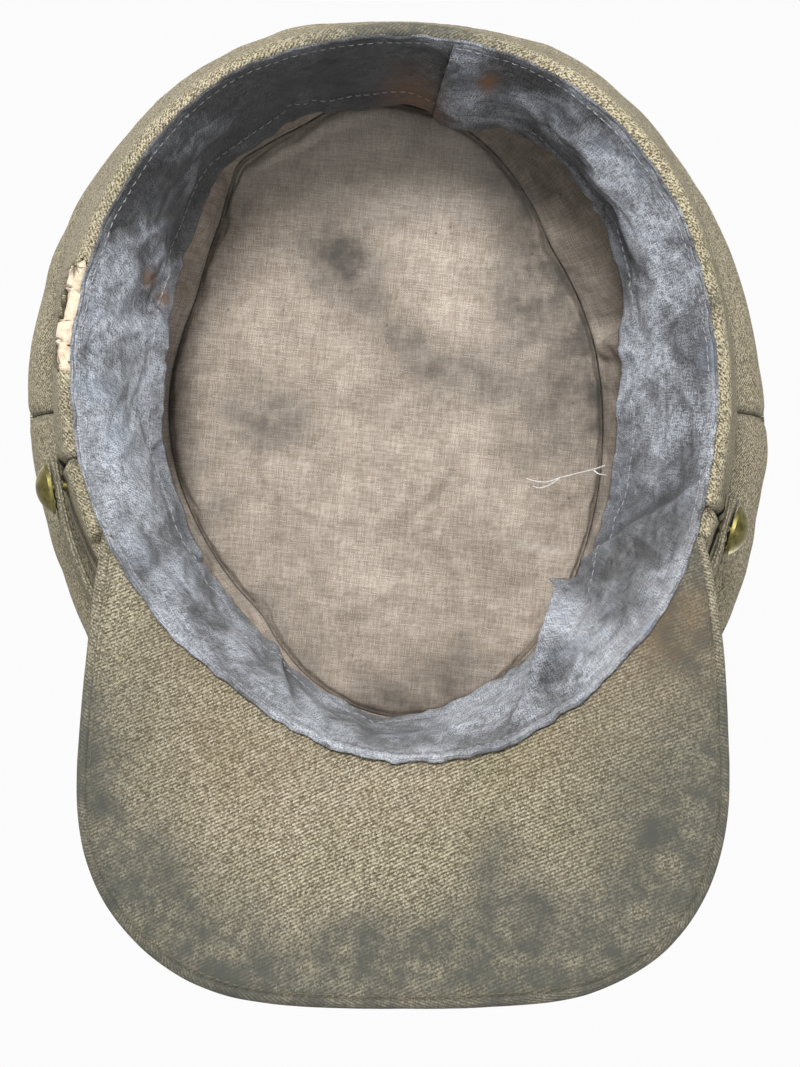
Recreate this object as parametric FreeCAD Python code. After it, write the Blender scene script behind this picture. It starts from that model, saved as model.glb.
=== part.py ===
"""Soft cloth military peaked cap, modelled piece by piece in millimetres.

Frame: the origin is the centre of the head opening, in the plane of the band's lower edge.
+Z points up to the crown, -Y points forward over the peak, +X is the wearer's left.
Every ring is an oval worked out from the head size, and angles run counter-clockwise from +X,
so the back of the head is at 90 degrees and the middle of the peak at 270.
"""

import FreeCAD
import Part

import math
import os

# Head opening: the oval that the band's inner face follows, for a 57 cm head.
HEAD_A = 85.5  # half width
HEAD_B = 95.5  # half length

# Sheet goods
CLOTH = 1.3  # wool twill
CARD = 1.3  # band pasteboard
COTTON = 0.6  # sweatband and lining
CANVAS = 0.9  # crown interlining
LAYER_GAP = 0.15  # air between two layers that lie on each other
SEAM_GAP = 0.2  # air between two edges that are sewn together

# Band: a slightly flared wall whose cloth is turned in round the card's lower edge.
BAND_H = 42.0
BAND_FLARE = 0.28  # outward run for each unit of height
TURN_IN_H = 9.0  # height of the turned-in edge inside the card
BAND_T = 2 * CLOTH + CARD + 2 * LAYER_GAP  # thickness of the rim
# The band cloth sits a little turned on the cap, so its side seams and the buttons on it
# stand further forward on the right. Angles are from straight sideways, forward negative.
BAND_SEAM_DEG = {"left": -9.5, "right": -17.5}

# Crown: four quarters that flare out from the band to an oval top, higher in front.
CROWN_A, CROWN_B, CROWN_YC = 119.0, 126.5, 0.0
TOP_Z = 82.0
TOP_FALL = 0.06  # height lost for each unit towards the back
TOP_EDGE_H = 4.0  # depth of the rounded edge of the top cloth
QUARTER_LEVELS = ((0.0, 0.0), (0.3, 0.45), (0.65, 0.85), (1.0, 1.0))  # share of height, of flare

# Lining: a bag narrower than the crown, sewn in at the top of the band.
LINING_A, LINING_B = 73.0, 100.0
LINING_LOW_Z = 36.0
LINING_DROP = 6.0  # the lining's top hangs this far under the crown's outer face

# Sweatband: sewn at the rim, its upper edge free and leaning in.
SWEAT_LOW_Z, SWEAT_TOP_Z = 0.4, 41.0
SWEAT_LEAN_SIDE, SWEAT_LEAN_END = 17.0, 5.0
SWEAT_START_DEG = 97.0  # the end that shows, lapped over the other
SWEAT_LAP_DEG = 9.0
SWEAT_LAP_STEP = COTTON + 0.3

# Peak: an even slope all along the rim, cut to a blunt front edge.
PEAK_SLOPE = math.tan(math.radians(22.0))
PEAK_CORNER_DEG = -22.5
PEAK_HALF_W = 83.5
PEAK_CORNER_W = 80.5  # half width at the corners
PEAK_SIDE_Y = -95.0  # where the straight sides end
PEAK_TIP_Y = -155.5
PEAK_POWER = 2.55  # bluntness of the front edge
PEAK_EDGE_LIP = 2.2  # width of upper cloth wrapped under the edge
PEAK_BOARD_T = 1.8
PEAK_REACH = 90.0  # ruled length of the blank, past every point of the outline
PEAK_INNER = 0.3  # offset of the peak's sewn edge from the head oval

# Chin strap: two cloth layers, held by a button at each side.
STRAP_W = 14.0
STRAP_LAYER = 1.25
STRAP_GAP_END, STRAP_GAP_FRONT = 1.0, 3.2  # air under the strap
STRAP_TAIL = 8.5  # strap past the button's centre
STRAP_DIP = math.tan(math.radians(9.8))  # the strap runs down to rest just over the peak
STRAP_HOLE_R = 2.2

# Side buttons
BUTTON_DEG = {"left": -12.5, "right": -19.0}
BUTTON_Z = 22.0
BUTTON_R = 7.0
BUTTON_DOME_H = 3.6
BUTTON_SHELL = 0.45
BUTTON_BACK_T = 0.6
BUTTON_CLEAR = 0.6  # air between the button's back and the strap
SHANK_R = 1.6
SHANK_BORE_R = 1.66
WASHER_R, WASHER_T = 4.5, 0.8
PIN_WIRE_R = 0.55
PIN_RING_R = 3.2
PIN_EYE_R = 0.62
PIN_TOP_CLEAR = 0.35  # air between the ring and the washer

POINTS_PER_TURN = 48
SIDES = {"left": 1.0, "right": -1.0}


def vec(x, y, z=0.0):
    return FreeCAD.Vector(x, y, z)


def oval(deg, offset=0.0, a=HEAD_A, b=HEAD_B, y_centre=0.0):
    """Point at an angle on an oval, moved outward along its normal."""
    t = math.radians(deg)
    nx, ny = b * math.cos(t), a * math.sin(t)
    scale = offset / math.hypot(nx, ny)
    return a * math.cos(t) + nx * scale, b * math.sin(t) + ny * scale + y_centre


def outward(deg):
    """Unit normal of the head oval at an angle."""
    t = math.radians(deg)
    nx, ny = HEAD_B * math.cos(t), HEAD_A * math.sin(t)
    return nx / math.hypot(nx, ny), ny / math.hypot(nx, ny)


def spread(start, end):
    """Angles from start to end, evenly spaced."""
    count = max(4, math.ceil(abs(end - start) / 360.0 * POINTS_PER_TURN))
    return [start + (end - start) * i / count for i in range(count + 1)]


def spline(points):
    curve = Part.BSplineCurve()
    curve.interpolate([vec(*p) for p in points])
    return curve.toShape()


def closed_spline(points):
    curve = Part.BSplineCurve()
    curve.interpolate([vec(*p) for p in points], PeriodicFlag=True)
    return curve.toShape()


def strip_wire(start, end, inner, outer, level):
    """Closed outline of a curved strip, cut across at one level of its height."""
    angles = spread(start, end)
    out = [outer(t, level) for t in angles]
    back = [inner(t, level) for t in reversed(angles)]
    return Part.Wire(
        [
            spline(out),
            Part.LineSegment(vec(*out[-1]), vec(*back[0])).toShape(),
            spline(back),
            Part.LineSegment(vec(*back[-1]), vec(*out[0])).toShape(),
        ]
    )


def strip(start, end, inner, outer, levels):
    """Solid wall between two surfaces, each a function of angle and level."""
    wires = [strip_wire(start, end, inner, outer, level) for level in levels]
    return Part.makeLoft(wires, True, True)


def plate(rings):
    """Solid stack of closed outlines."""
    return Part.makeLoft([Part.Wire([closed_spline(ring)]) for ring in rings], True, True)


def top_z(y, drop=0.0):
    """Height of the crown's sloping top plane, less a drop."""
    return TOP_Z - TOP_FALL * y - drop


def band_wall(offset):
    """Flared surface parallel to the band, as a function of angle and height."""

    def at(deg, z):
        x, y = oval(deg, offset + BAND_FLARE * z)
        return x, y, z

    return at


def upright_wall(offset):
    def at(deg, z):
        x, y = oval(deg, offset)
        return x, y, z

    return at


# Band


def band_cloth(start, end):
    """Outer cloth with its lower edge turned in round the card."""
    body = strip(start, end, band_wall(0.1), band_wall(BAND_T), (0.0, BAND_H))
    margin = 5.0
    pocket = strip(
        start - margin,
        end + margin,
        band_wall(CLOTH),
        band_wall(BAND_T - CLOTH),
        (CLOTH, BAND_H + 5.0),
    )
    above_turn_in = strip(
        start - margin,
        end + margin,
        band_wall(-3.0),
        band_wall(CLOTH + 1.0),
        (TURN_IN_H, BAND_H + 5.0),
    )
    return body.cut(pocket).cut(above_turn_in)


def band_stiffener():
    """Pasteboard strip inside the band, its ends meeting at the back."""
    end_gap_deg = 0.5
    return strip(
        90.0 + end_gap_deg,
        450.0 - end_gap_deg,
        band_wall(CLOTH + LAYER_GAP),
        band_wall(CLOTH + LAYER_GAP + CARD),
        (CLOTH + LAYER_GAP, BAND_H - 1.5),
    )


# Crown


def crown_wall(inset):
    """Surface of the quarters, as a function of angle and (height share, flare share)."""
    band_top = BAND_T + BAND_FLARE * BAND_H

    def at(deg, level):
        height, flare = level
        x0, y0 = oval(deg, band_top - inset)
        x1, y1 = oval(deg, -inset, CROWN_A, CROWN_B, CROWN_YC)
        y = y0 + (y1 - y0) * flare
        low = BAND_H + SEAM_GAP
        z = low + height * (top_z(y, TOP_EDGE_H) - low)
        return x0 + (x1 - x0) * flare, y, z

    return at


def crown_quarter(start):
    half_gap_deg = 0.05
    return strip(
        start + half_gap_deg,
        start + 90.0 - half_gap_deg,
        crown_wall(CLOTH),
        crown_wall(0.0),
        QUARTER_LEVELS,
    )


def crown_ring(offset, drop):
    """Closed outline parallel to the crown's edge, on a plane under its top."""
    points = [oval(t, offset, CROWN_A, CROWN_B, CROWN_YC) for t in spread(0, 360)[:-1]]
    return [(x, y, top_z(y, drop)) for x, y in points]


def crown_top_cloth():
    edge_low = TOP_EDGE_H - SEAM_GAP
    body = plate([crown_ring(0.0, edge_low), crown_ring(-1.0, 1.2), crown_ring(-4.0, 0.0)])
    room = plate([crown_ring(-CLOTH, edge_low + 1.0), crown_ring(-CLOTH - 3.0, CLOTH)])
    return body.cut(room)


def crown_canvas():
    face_drop = CLOTH + LAYER_GAP
    return plate([crown_ring(-6.0, face_drop + CANVAS), crown_ring(-6.0, face_drop)])


# Lining


def lining_ring(offset, drop):
    points = [oval(t, offset, LINING_A, LINING_B) for t in spread(0, 360)[:-1]]
    return [(x, y, top_z(y, drop)) for x, y in points]


def lining_top():
    return plate([lining_ring(0.0, LINING_DROP), lining_ring(0.0, LINING_DROP - COTTON)])


def lining_wall(inset):
    """Sides of the lining bag, from inside the band up to the lining's top."""
    start_offset = CLOTH + LAYER_GAP + BAND_FLARE * LINING_LOW_Z - 0.4

    def at(deg, share):
        x0, y0 = oval(deg, start_offset - inset)
        x1, y1 = oval(deg, -inset, LINING_A, LINING_B)
        y = y0 + (y1 - y0) * share
        high = top_z(y, LINING_DROP + SEAM_GAP)
        return x0 + (x1 - x0) * share, y, LINING_LOW_Z + share * (high - LINING_LOW_Z)

    return at


def lining_side(start):
    half_gap_deg = 0.05
    return strip(
        start + half_gap_deg,
        start + 180.0 - half_gap_deg,
        lining_wall(COTTON),
        lining_wall(0.0),
        (0.0, 0.5, 1.0),
    )


# Sweatband


def sweat_wall(inset):
    """Sweatband face: it leans in towards its free edge, most at the sides of the head."""

    def at(deg, z):
        share = (z - SWEAT_LOW_Z) / (SWEAT_TOP_Z - SWEAT_LOW_Z)
        end_share = math.sin(math.radians(deg)) ** 2
        lean = SWEAT_LEAN_SIDE + (SWEAT_LEAN_END - SWEAT_LEAN_SIDE) * end_share
        lap = max(0.0, 1.0 - (deg - SWEAT_START_DEG) / (2 * SWEAT_LAP_DEG))
        lapped = SWEAT_LAP_STEP * min(1.0, 2 * lap)
        x, y = oval(deg, -0.1 - inset - lean * share - lapped)
        return x, y, z

    return at


def sweatband():
    end = SWEAT_START_DEG + 360.0 + SWEAT_LAP_DEG
    levels = (SWEAT_LOW_Z, SWEAT_TOP_Z)
    return strip(SWEAT_START_DEG, end, sweat_wall(COTTON), sweat_wall(0.0), levels)


# Peak


def peak_blank(low, high, start_offset=PEAK_INNER):
    """Slab between two heights over the peak's sloping surface, before its outline is cut."""
    first, last = 180.0 - PEAK_CORNER_DEG, 360.0 + PEAK_CORNER_DEG
    angles = spread(first, last)

    def curve(offset, lift):
        points = [oval(t, offset) for t in angles]
        return [(x, y, lift - PEAK_SLOPE * offset) for x, y in points]

    inner_low, outer_low = curve(start_offset, low), curve(PEAK_REACH, low)
    inner_high, outer_high = curve(start_offset, high), curve(PEAK_REACH, high)
    edges = [spline(points) for points in (inner_low, outer_low, outer_high, inner_high)]
    faces = [Part.makeRuledSurface(edges[i], edges[(i + 1) % 4]) for i in range(4)]
    for end in (0, -1):
        corners = [vec(*c[end]) for c in (inner_low, outer_low, outer_high, inner_high)]
        faces.append(Part.Face(Part.makePolygon(corners + corners[:1])))
    shell = Part.Shell(Part.makeCompound(faces).Faces)
    shell.sewShape()
    return Part.Solid(shell)


def peak_prism(inset):
    """Upright prism of the peak's outline in plan, moved in from its edge."""
    half_w = PEAK_HALF_W - inset
    depth = PEAK_SIDE_Y - PEAK_TIP_Y - inset
    points = []
    steps = 40
    for i in range(steps + 1):
        t = math.pi * i / steps
        c, s = math.cos(t), math.sin(t)
        x = math.copysign(half_w * abs(c) ** (2 / PEAK_POWER), c)
        points.append((x, PEAK_SIDE_Y - depth * abs(s) ** (2 / PEAK_POWER), -80.0))
    front = spline(points)
    back_y = -10.0
    corner_y = oval(PEAK_CORNER_DEG)[1]
    taper = (PEAK_HALF_W - PEAK_CORNER_W) / (corner_y - PEAK_SIDE_Y)
    back_w = half_w - taper * (back_y - PEAK_SIDE_Y)
    corners = [
        vec(-half_w, PEAK_SIDE_Y, -80.0),
        vec(-back_w, back_y, -80.0),
        vec(back_w, back_y, -80.0),
        vec(half_w, PEAK_SIDE_Y, -80.0),
    ]
    sides = [Part.LineSegment(corners[i], corners[i + 1]).toShape() for i in range(3)]
    return Part.Face(Part.Wire([front] + sides)).extrude(vec(0, 0, 100.0))


def peak_pieces():
    """Under cloth, board and upper cloth; the upper cloth wraps the board's edge."""
    under_high = CLOTH - 0.1
    board_low = under_high + LAYER_GAP
    board_high = board_low + PEAK_BOARD_T
    upper_low = board_high + LAYER_GAP
    upper_high = upper_low + CLOTH - 0.1
    under = peak_blank(0.0, under_high).common(peak_prism(PEAK_EDGE_LIP + SEAM_GAP))
    board = peak_blank(board_low, board_high).common(peak_prism(CLOTH + LAYER_GAP))
    upper = peak_blank(0.0, upper_high).common(peak_prism(0.0))
    upper = upper.cut(
        peak_blank(-1.0, under_high + 0.1, PEAK_INNER - 3.0).common(peak_prism(PEAK_EDGE_LIP))
    )
    upper = upper.cut(
        peak_blank(under_high, upper_low, PEAK_INNER - 3.0).common(peak_prism(CLOTH))
    )
    return {"peak_under_cloth": under, "peak_board": board, "peak_upper_cloth": upper}


def peak_clearance():
    """Space that the peak's sewn edge takes out of the front band cloth."""
    full_t = 2 * (CLOTH - 0.1) + PEAK_BOARD_T + 2 * LAYER_GAP
    return peak_blank(-2.0, full_t + LAYER_GAP, PEAK_INNER - 2.0)


# Side buttons: a local frame on the band's outer face, with Z pointing outward and Y down.


def button_frame(side):
    sign, deg = SIDES[side], BUTTON_DEG[side]
    nx, ny = outward(deg)
    x, y = oval(deg, BAND_T + BAND_FLARE * BUTTON_Z)
    axis, down = vec(sign * nx, ny, -BAND_FLARE), vec(0, 0, -1)
    turn = FreeCAD.Rotation(down.cross(axis), down, axis, "ZYX")
    return FreeCAD.Placement(vec(sign * x, y, BUTTON_Z), turn)


def placed(shape, side):
    moved = shape.copy()
    moved.Placement = button_frame(side)
    return moved


STRAP_OUTER = STRAP_GAP_END + 2 * STRAP_LAYER + 0.1
BUTTON_BACK_Z = STRAP_OUTER + BUTTON_CLEAR
PIN_Z = -(BAND_T - CLOTH - LAYER_GAP + 0.2 + WASHER_T) - PIN_TOP_CLEAR - PIN_WIRE_R


def button_dome():
    """Hollow dome, rolled over the back plate's edge."""
    outer_r = (BUTTON_R**2 + BUTTON_DOME_H**2) / (2 * BUTTON_DOME_H)
    inner_r = outer_r - BUTTON_SHELL
    base = BUTTON_BACK_Z + BUTTON_BACK_T
    centre = base + BUTTON_DOME_H - outer_r
    slab = Part.makeCylinder(BUTTON_R, BUTTON_DOME_H, vec(0, 0, base + 0.05))
    dome = Part.makeSphere(outer_r, vec(0, 0, centre)).common(slab)
    dome = dome.cut(Part.makeSphere(inner_r, vec(0, 0, centre)))
    rim = Part.makeCylinder(BUTTON_R + 0.25, 0.9, vec(0, 0, base - 0.65))
    rim = rim.cut(Part.makeCylinder(BUTTON_R - 0.35, 2.0, vec(0, 0, base - 1.5)))
    return dome.fuse(rim).removeSplitter()


def button_back():
    """Back plate and shank, with an eye across the shank's inner end."""
    plate_r = BUTTON_R - 0.4
    back = Part.makeCylinder(plate_r, BUTTON_BACK_T, vec(0, 0, BUTTON_BACK_Z))
    shank_low = PIN_Z - 1.7
    shank = Part.makeCylinder(SHANK_R, BUTTON_BACK_Z - shank_low + 0.1, vec(0, 0, shank_low))
    eye = Part.makeTorus(PIN_RING_R, PIN_EYE_R, vec(0, PIN_RING_R, PIN_Z))
    return back.fuse(shank).cut(eye).removeSplitter()


def button_ring():
    """Split ring through the shank's eye, hanging flat behind the washer."""
    ring = Part.makeTorus(PIN_RING_R, PIN_WIRE_R, vec(0, PIN_RING_R, PIN_Z))
    slit = Part.makeBox(0.5, 3.0, 3.0, vec(-0.25, 2 * PIN_RING_R - 1.5, PIN_Z - 1.5))
    return ring.cut(slit)


def button_washer():
    face = -(BAND_T - CLOTH - LAYER_GAP + 0.2)
    disc = Part.makeCylinder(WASHER_R, WASHER_T, vec(0, 0, face - WASHER_T))
    return disc.cut(Part.makeCylinder(SHANK_BORE_R, 4.0, vec(0, 0, face - 2.0)))


def shank_bore():
    return Part.makeCylinder(SHANK_BORE_R, 20.0, vec(0, 0, -15.0))


# Chin strap


def strap_pivot(side):
    """Point where a button's axis crosses the middle of the strap."""
    mid = STRAP_GAP_END + STRAP_LAYER
    return button_frame(side).multVec(vec(0, 0, mid))


def strap_wall(extra):
    """Strap surface: it follows the band's flare at a growing distance towards the front."""
    left, right = strap_pivot("left"), strap_pivot("right")
    front_y = oval(270.0, BAND_T)[1]

    def hinge_y(x):
        return right.y + (left.y - right.y) * (x - right.x) / (left.x - right.x)

    def at(deg, across):
        z = left.z
        for _ in range(12):
            x, y = oval(deg, BAND_T + BAND_FLARE * z)
            forward = (hinge_y(x) - y) / (hinge_y(0.0) - front_y)
            bow = math.sin(min(1.0, max(0.0, forward)) * math.pi / 2) ** 0.8
            gap = STRAP_GAP_END + (STRAP_GAP_FRONT - STRAP_GAP_END) * bow
            x, y = oval(deg, BAND_T + BAND_FLARE * z + gap + extra)
            z = left.z + across + (y - hinge_y(x)) * STRAP_DIP
        return x, y, z

    return at


def strap_end_deg(side):
    """Angle at which the strap's tail ends, behind the button."""
    radius = math.hypot(*oval(BUTTON_DEG[side], BAND_T))
    return BUTTON_DEG[side] + math.degrees(STRAP_TAIL / radius)


def tail_corners(side):
    """What is cut off behind the button, so that the strap's end is round."""
    sign = SIDES[side]
    nx, ny = outward(BUTTON_DEG[side])
    axis = vec(sign * nx, ny, -BAND_FLARE)
    rear = vec(-sign * ny, nx, 0)
    turn = FreeCAD.Rotation(rear.cross(axis), rear, axis, "ZYX")
    block = Part.makeBox(60.0, 60.0, 60.0, vec(-30.0, 0.0, -30.0))
    block = block.cut(Part.makeCylinder(STRAP_TAIL - 0.2, 60.0, vec(0, 0, -30.0)))
    block.Placement = FreeCAD.Placement(button_frame(side).Base, turn)
    return block


def strap_layer(low, high):
    """One cloth layer of the strap, with rounded ends and a hole at each button."""
    start, end = 180.0 - strap_end_deg("right"), 360.0 + strap_end_deg("left")
    rise = STRAP_W / 2 * math.cos(math.atan(BAND_FLARE))
    layer = strip(start, end, strap_wall(low), strap_wall(high), (-rise, rise))
    hole = Part.makeCylinder(STRAP_HOLE_R, 30.0, vec(0, 0, -10.0))
    for side in SIDES:
        layer = layer.cut(placed(hole, side)).cut(tail_corners(side))
    return layer


# Assembly


def front_band_cloth():
    start, end = 180.0 - BAND_SEAM_DEG["right"], 360.0 + BAND_SEAM_DEG["left"]
    cloth = band_cloth(start, end).cut(peak_clearance())
    for side in SIDES:
        cloth = cloth.cut(placed(shank_bore(), side))
    return cloth


def rear_band_cloth():
    gap_deg = 0.14
    start, end = BAND_SEAM_DEG["left"] + gap_deg, 180.0 - BAND_SEAM_DEG["right"] - gap_deg
    return band_cloth(start, end)


def bored_stiffener():
    card = band_stiffener().cut(peak_clearance())
    for side in SIDES:
        card = card.cut(placed(shank_bore(), side))
    return card


def build():
    parts = {
        "crown_top_cloth": crown_top_cloth(),
        "crown_canvas": crown_canvas(),
        "crown_quarter_rear_left": crown_quarter(0.0),
        "crown_quarter_rear_right": crown_quarter(90.0),
        "crown_quarter_front_right": crown_quarter(180.0),
        "crown_quarter_front_left": crown_quarter(270.0),
        "band_cloth_front": front_band_cloth(),
        "band_cloth_rear": rear_band_cloth(),
        "band_stiffener": bored_stiffener(),
        "sweatband": sweatband(),
        "lining_top": lining_top(),
        "lining_side_left": lining_side(-90.0),
        "lining_side_right": lining_side(90.0),
        "chin_strap_inner_cloth": strap_layer(0.0, STRAP_LAYER),
        "chin_strap_outer_cloth": strap_layer(STRAP_LAYER + 0.1, 2 * STRAP_LAYER + 0.1),
    }
    parts.update(peak_pieces())
    for side in SIDES:
        parts["button_dome_" + side] = placed(button_dome(), side)
        parts["button_back_" + side] = placed(button_back(), side)
        parts["button_ring_" + side] = placed(button_ring(), side)
        parts["button_washer_" + side] = placed(button_washer(), side)
    return parts


def main():
    os.makedirs("parts", exist_ok=True)
    for name, shape in build().items():
        solids = shape.Solids
        valid = all(s.isValid() and s.isClosed() for s in solids)
        print(f"{name}: {len(solids)} solid(s), {shape.Volume:.0f} mm3, valid {valid}")
        shape.exportStep(f"parts/{name}.step")
    for side in SIDES:
        pivot = strap_pivot(side)
        axis = button_frame(side).Rotation.multVec(vec(0, 0, 1))
        print(side, "strap pivot", [round(v, 3) for v in pivot])
        print(side, "button axis", [round(v, 5) for v in axis])


main()
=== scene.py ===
"""Looks of a worn military peaked cap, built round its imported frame.

Shapes are worked out in millimetres in the frame's own axes: +Z up through the crown, -Y forward
over the peak, +X to the wearer's left. Angles go round the head opening counter-clockwise from +X,
so 90 is the middle of the back and 270 the middle of the peak.
"""

import math

import bpy
import numpy as np
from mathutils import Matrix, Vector, noise


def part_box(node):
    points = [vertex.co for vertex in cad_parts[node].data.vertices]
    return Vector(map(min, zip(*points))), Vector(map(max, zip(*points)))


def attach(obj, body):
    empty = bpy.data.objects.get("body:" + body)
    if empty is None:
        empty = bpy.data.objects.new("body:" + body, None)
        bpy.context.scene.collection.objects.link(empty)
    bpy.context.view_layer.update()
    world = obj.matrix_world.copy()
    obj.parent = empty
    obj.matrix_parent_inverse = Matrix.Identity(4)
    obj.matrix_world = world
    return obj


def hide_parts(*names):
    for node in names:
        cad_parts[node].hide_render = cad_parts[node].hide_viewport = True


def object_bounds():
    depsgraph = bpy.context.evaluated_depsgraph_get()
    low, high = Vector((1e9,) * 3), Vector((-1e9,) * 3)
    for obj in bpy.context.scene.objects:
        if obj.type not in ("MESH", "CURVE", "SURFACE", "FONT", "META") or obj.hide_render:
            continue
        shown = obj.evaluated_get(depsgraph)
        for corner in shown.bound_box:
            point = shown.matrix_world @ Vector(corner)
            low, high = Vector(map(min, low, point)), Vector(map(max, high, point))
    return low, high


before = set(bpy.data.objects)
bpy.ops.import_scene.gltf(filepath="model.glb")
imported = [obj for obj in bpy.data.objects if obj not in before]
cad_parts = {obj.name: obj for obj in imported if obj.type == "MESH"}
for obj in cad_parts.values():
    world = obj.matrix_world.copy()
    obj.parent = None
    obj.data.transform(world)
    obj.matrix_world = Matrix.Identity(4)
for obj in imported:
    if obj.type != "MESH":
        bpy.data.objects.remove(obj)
CAD_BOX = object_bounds()

MM = 0.001


def corners(node):
    """Low and high corner of a node's box, in mm."""
    return np.array(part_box(node)) / MM


# Sizes read from the frame
HEAD_A, HEAD_B = corners("sweatband")[1, :2] + 0.1
BAND_H = corners("band_cloth_rear")[1, 2]
CROWN_A, CROWN_B = corners("crown_top_cloth")[1, :2]
LINING_A, LINING_B = corners("lining_top")[1, :2]
PEAK_HALF_W = corners("peak_upper_cloth")[1, 0]
PEAK_TIP_Y = corners("peak_upper_cloth")[0, 1]

# Sizes that the frame's boxes don't give, the same as in the CAD
BAND_T = 4.2
BAND_FLARE = 0.28
BAND_TURN_IN = 9.0
BAND_SEAM_DEG = {"left": -9.5, "right": 197.5}
TOP_Z, TOP_FALL = 82.0, 0.06
PEAK_SLOPE = math.tan(math.radians(22.0))
PEAK_CORNERS_DEG = (202.5, 337.5)
PEAK_CORNER_W, PEAK_SIDE_Y, PEAK_POWER = 80.5, -95.0, 2.55
PEAK_T = 4.5
PEAK_EDGE_R = PEAK_T / 2
PEAK_RAISES_BAND = 4.6
RIM_GAP = 0.3  # from the head oval out to the peak's inner edge
STRAP_W, STRAP_T = 14.0, 2.6
STRAP_GAP_END, STRAP_GAP_FRONT = 1.0, 3.2
STRAP_DIP = math.tan(math.radians(9.8))
STRAP_PIVOTS = ((95.76, -23.11, 21.39), (-92.81, -34.78, 21.39))
STRAP_TAIL = 8.3
STRAP_RADIUS = 97.0  # mean radius of the strap's path, which turns its angles into lengths
SWEAT_W = 42.0
SWEAT_START_DEG, SWEAT_LAP_DEG = 99.0, 8.0
LINING_LOW_Z = 37.0
LINING_DROP = 6.3

# Thicknesses given to the cloth: wool, the peak's upper cloth, sweatband and lining
WOOL_T, QUARTER_T, PEAK_UPPER_T, SWEAT_T, LINING_T = 1.0, 1.1, 0.9, 0.55, 0.5

# Wear: the hole in the band's rim with its cracked card, and the tear opposite
HOLE_DEG, HOLE_HALF_DEG, HOLE_H = 12.8, 8.0, 9.5
CARD_CRACKS = ((8.6, 0.9), (12.2, -0.6), (16.9, 0.7))
TORN_DEG = 164.7


# Shape helpers


def smooth(t):
    t = np.clip(t, 0.0, 1.0)
    return t * t * (3.0 - 2.0 * t)


def bell(t):
    return np.exp(-np.square(t))


def around(controls, blur=6.0):
    """A smooth function of the angle in degrees that passes near a few given values."""
    at = np.arange(360.0)
    keys = sorted(controls)
    values = np.interp(at, keys, [controls[k] for k in keys], period=360.0)
    kernel = bell(np.minimum(at, 360.0 - at) / blur)
    spectrum = np.fft.fft(values) * np.fft.fft(kernel / kernel.sum())
    values = np.real(np.fft.ifft(spectrum))
    values = np.append(values, values[0])
    return lambda deg: np.interp(np.mod(deg, 360.0), np.arange(361.0), values)


def lumps(points, size, seed=0.0, octaves=2):
    """Smooth noise between about -1 and 1, with lumps about size mm across."""
    flat = points.reshape(-1, 3) / size + seed * 7.31
    values = [noise.fractal(Vector(p), 1.0, 2.0, octaves) for p in flat]
    return np.array(values).reshape(points.shape[:-1])


def head_deg(x, y):
    """Angle of a point as the head oval counts it."""
    return np.degrees(np.arctan2(y / HEAD_B, x / HEAD_A))


def oval(deg, offset=0.0, a=HEAD_A, b=HEAD_B):
    """Point at an angle on an oval, moved outward along its normal."""
    t = np.radians(deg)
    nx, ny = b * np.cos(t), a * np.sin(t)
    k = offset / np.hypot(nx, ny)
    return a * np.cos(t) + nx * k, b * np.sin(t) + ny * k


def outward(deg):
    """Unit normal of the head oval, as x and y."""
    (x0, y0), (x1, y1) = oval(deg), oval(deg, 1.0)
    return x1 - x0, y1 - y0


def stack(x, y, z):
    return np.stack(np.broadcast_arrays(x, y, z), axis=-1).astype(float)


def facing(points, outward=True):
    """Unit normals of a wall's grid, pointing away from the cap's middle or towards it."""
    n = np.cross(np.gradient(points, axis=1), np.gradient(points, axis=0))
    n = n / np.maximum(np.linalg.norm(n, axis=-1, keepdims=True), 1e-9)
    away = (n[..., :2] * points[..., :2]).sum() > 0
    return n if away == outward else -n


def pushed(points, amount, outward=True):
    """A wall's grid, moved by an amount away from the cap's middle or towards it."""
    return points + facing(points, outward) * amount[..., None]


def arc_lengths(points, axis):
    """Distance along the rows or columns of a grid, averaged over the other way."""
    steps = np.linalg.norm(np.diff(points, axis=axis), axis=-1).mean(axis=1 - axis)
    return np.concatenate([[0.0], np.cumsum(steps)])


# How the cap has bent in use: outward offsets in mm by angle, at the rim, at the crown's edge
# and at the peak's edge, and how far the band's upper edge spreads beyond its even flare.

RIM_BEND = around(
    {8: 1.4, 30: 2.6, 45: 3.4, 60: 3.6, 72: 1.8, 86: 0.3, 98: 0.7, 125: 2.4, 147: 2.0,
     170: -0.5, 195: -0.8, 210: 1.6, 226: 0.6, 246: 1.6, 270: 0.4, 283: -2.0, 301: -5.2,
     321: -3.8, 342: -0.9}
)
CROWN_BEND = around(
    {0: -1.7, 15: -0.3, 28: -1.0, 42: -2.6, 50: -2.2, 60: -1.0, 73: -0.6, 85: -4.8, 91: -5.8,
     97: -4.2, 104: -2.3, 120: -0.8, 132: -1.8, 143: -2.6, 152: -1.7, 162: -2.4, 175: -2.8,
     185: -0.6, 194: -0.4, 203: 1.8, 209: 4.2, 217: 4.0, 226: 2.0, 240: -1.2, 300: -1.0,
     316: 0.6, 324: 1.0, 332: -0.6, 339: -2.6, 347: -2.9, 355: -1.5},
    blur=4.0,
)
PEAK_BEND = around(
    {196: 0, 203: 1.2, 210: 3.0, 219: 3.8, 225: 2.6, 230: 1.4, 235: 0.8, 240: 1.1, 246: 2.2,
     255: 2.4, 261: 0.9, 270: 0.8, 280: 1.1, 286: 2.0, 291: 2.4, 297: 1.1, 305: 1.1, 311: 1.4,
     316: 2.2, 321: 1.2, 328: 0.8, 340: 0},
    blur=3.0,
)
BAND_SPREAD = around(
    {6: 0.0, 20: 3.5, 32: 6.0, 50: 6.5, 72: 5.0, 90: 3.5, 112: 5.0, 132: 5.5, 144: 3.0, 154: 0.0,
     340: 0.0}
)


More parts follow.
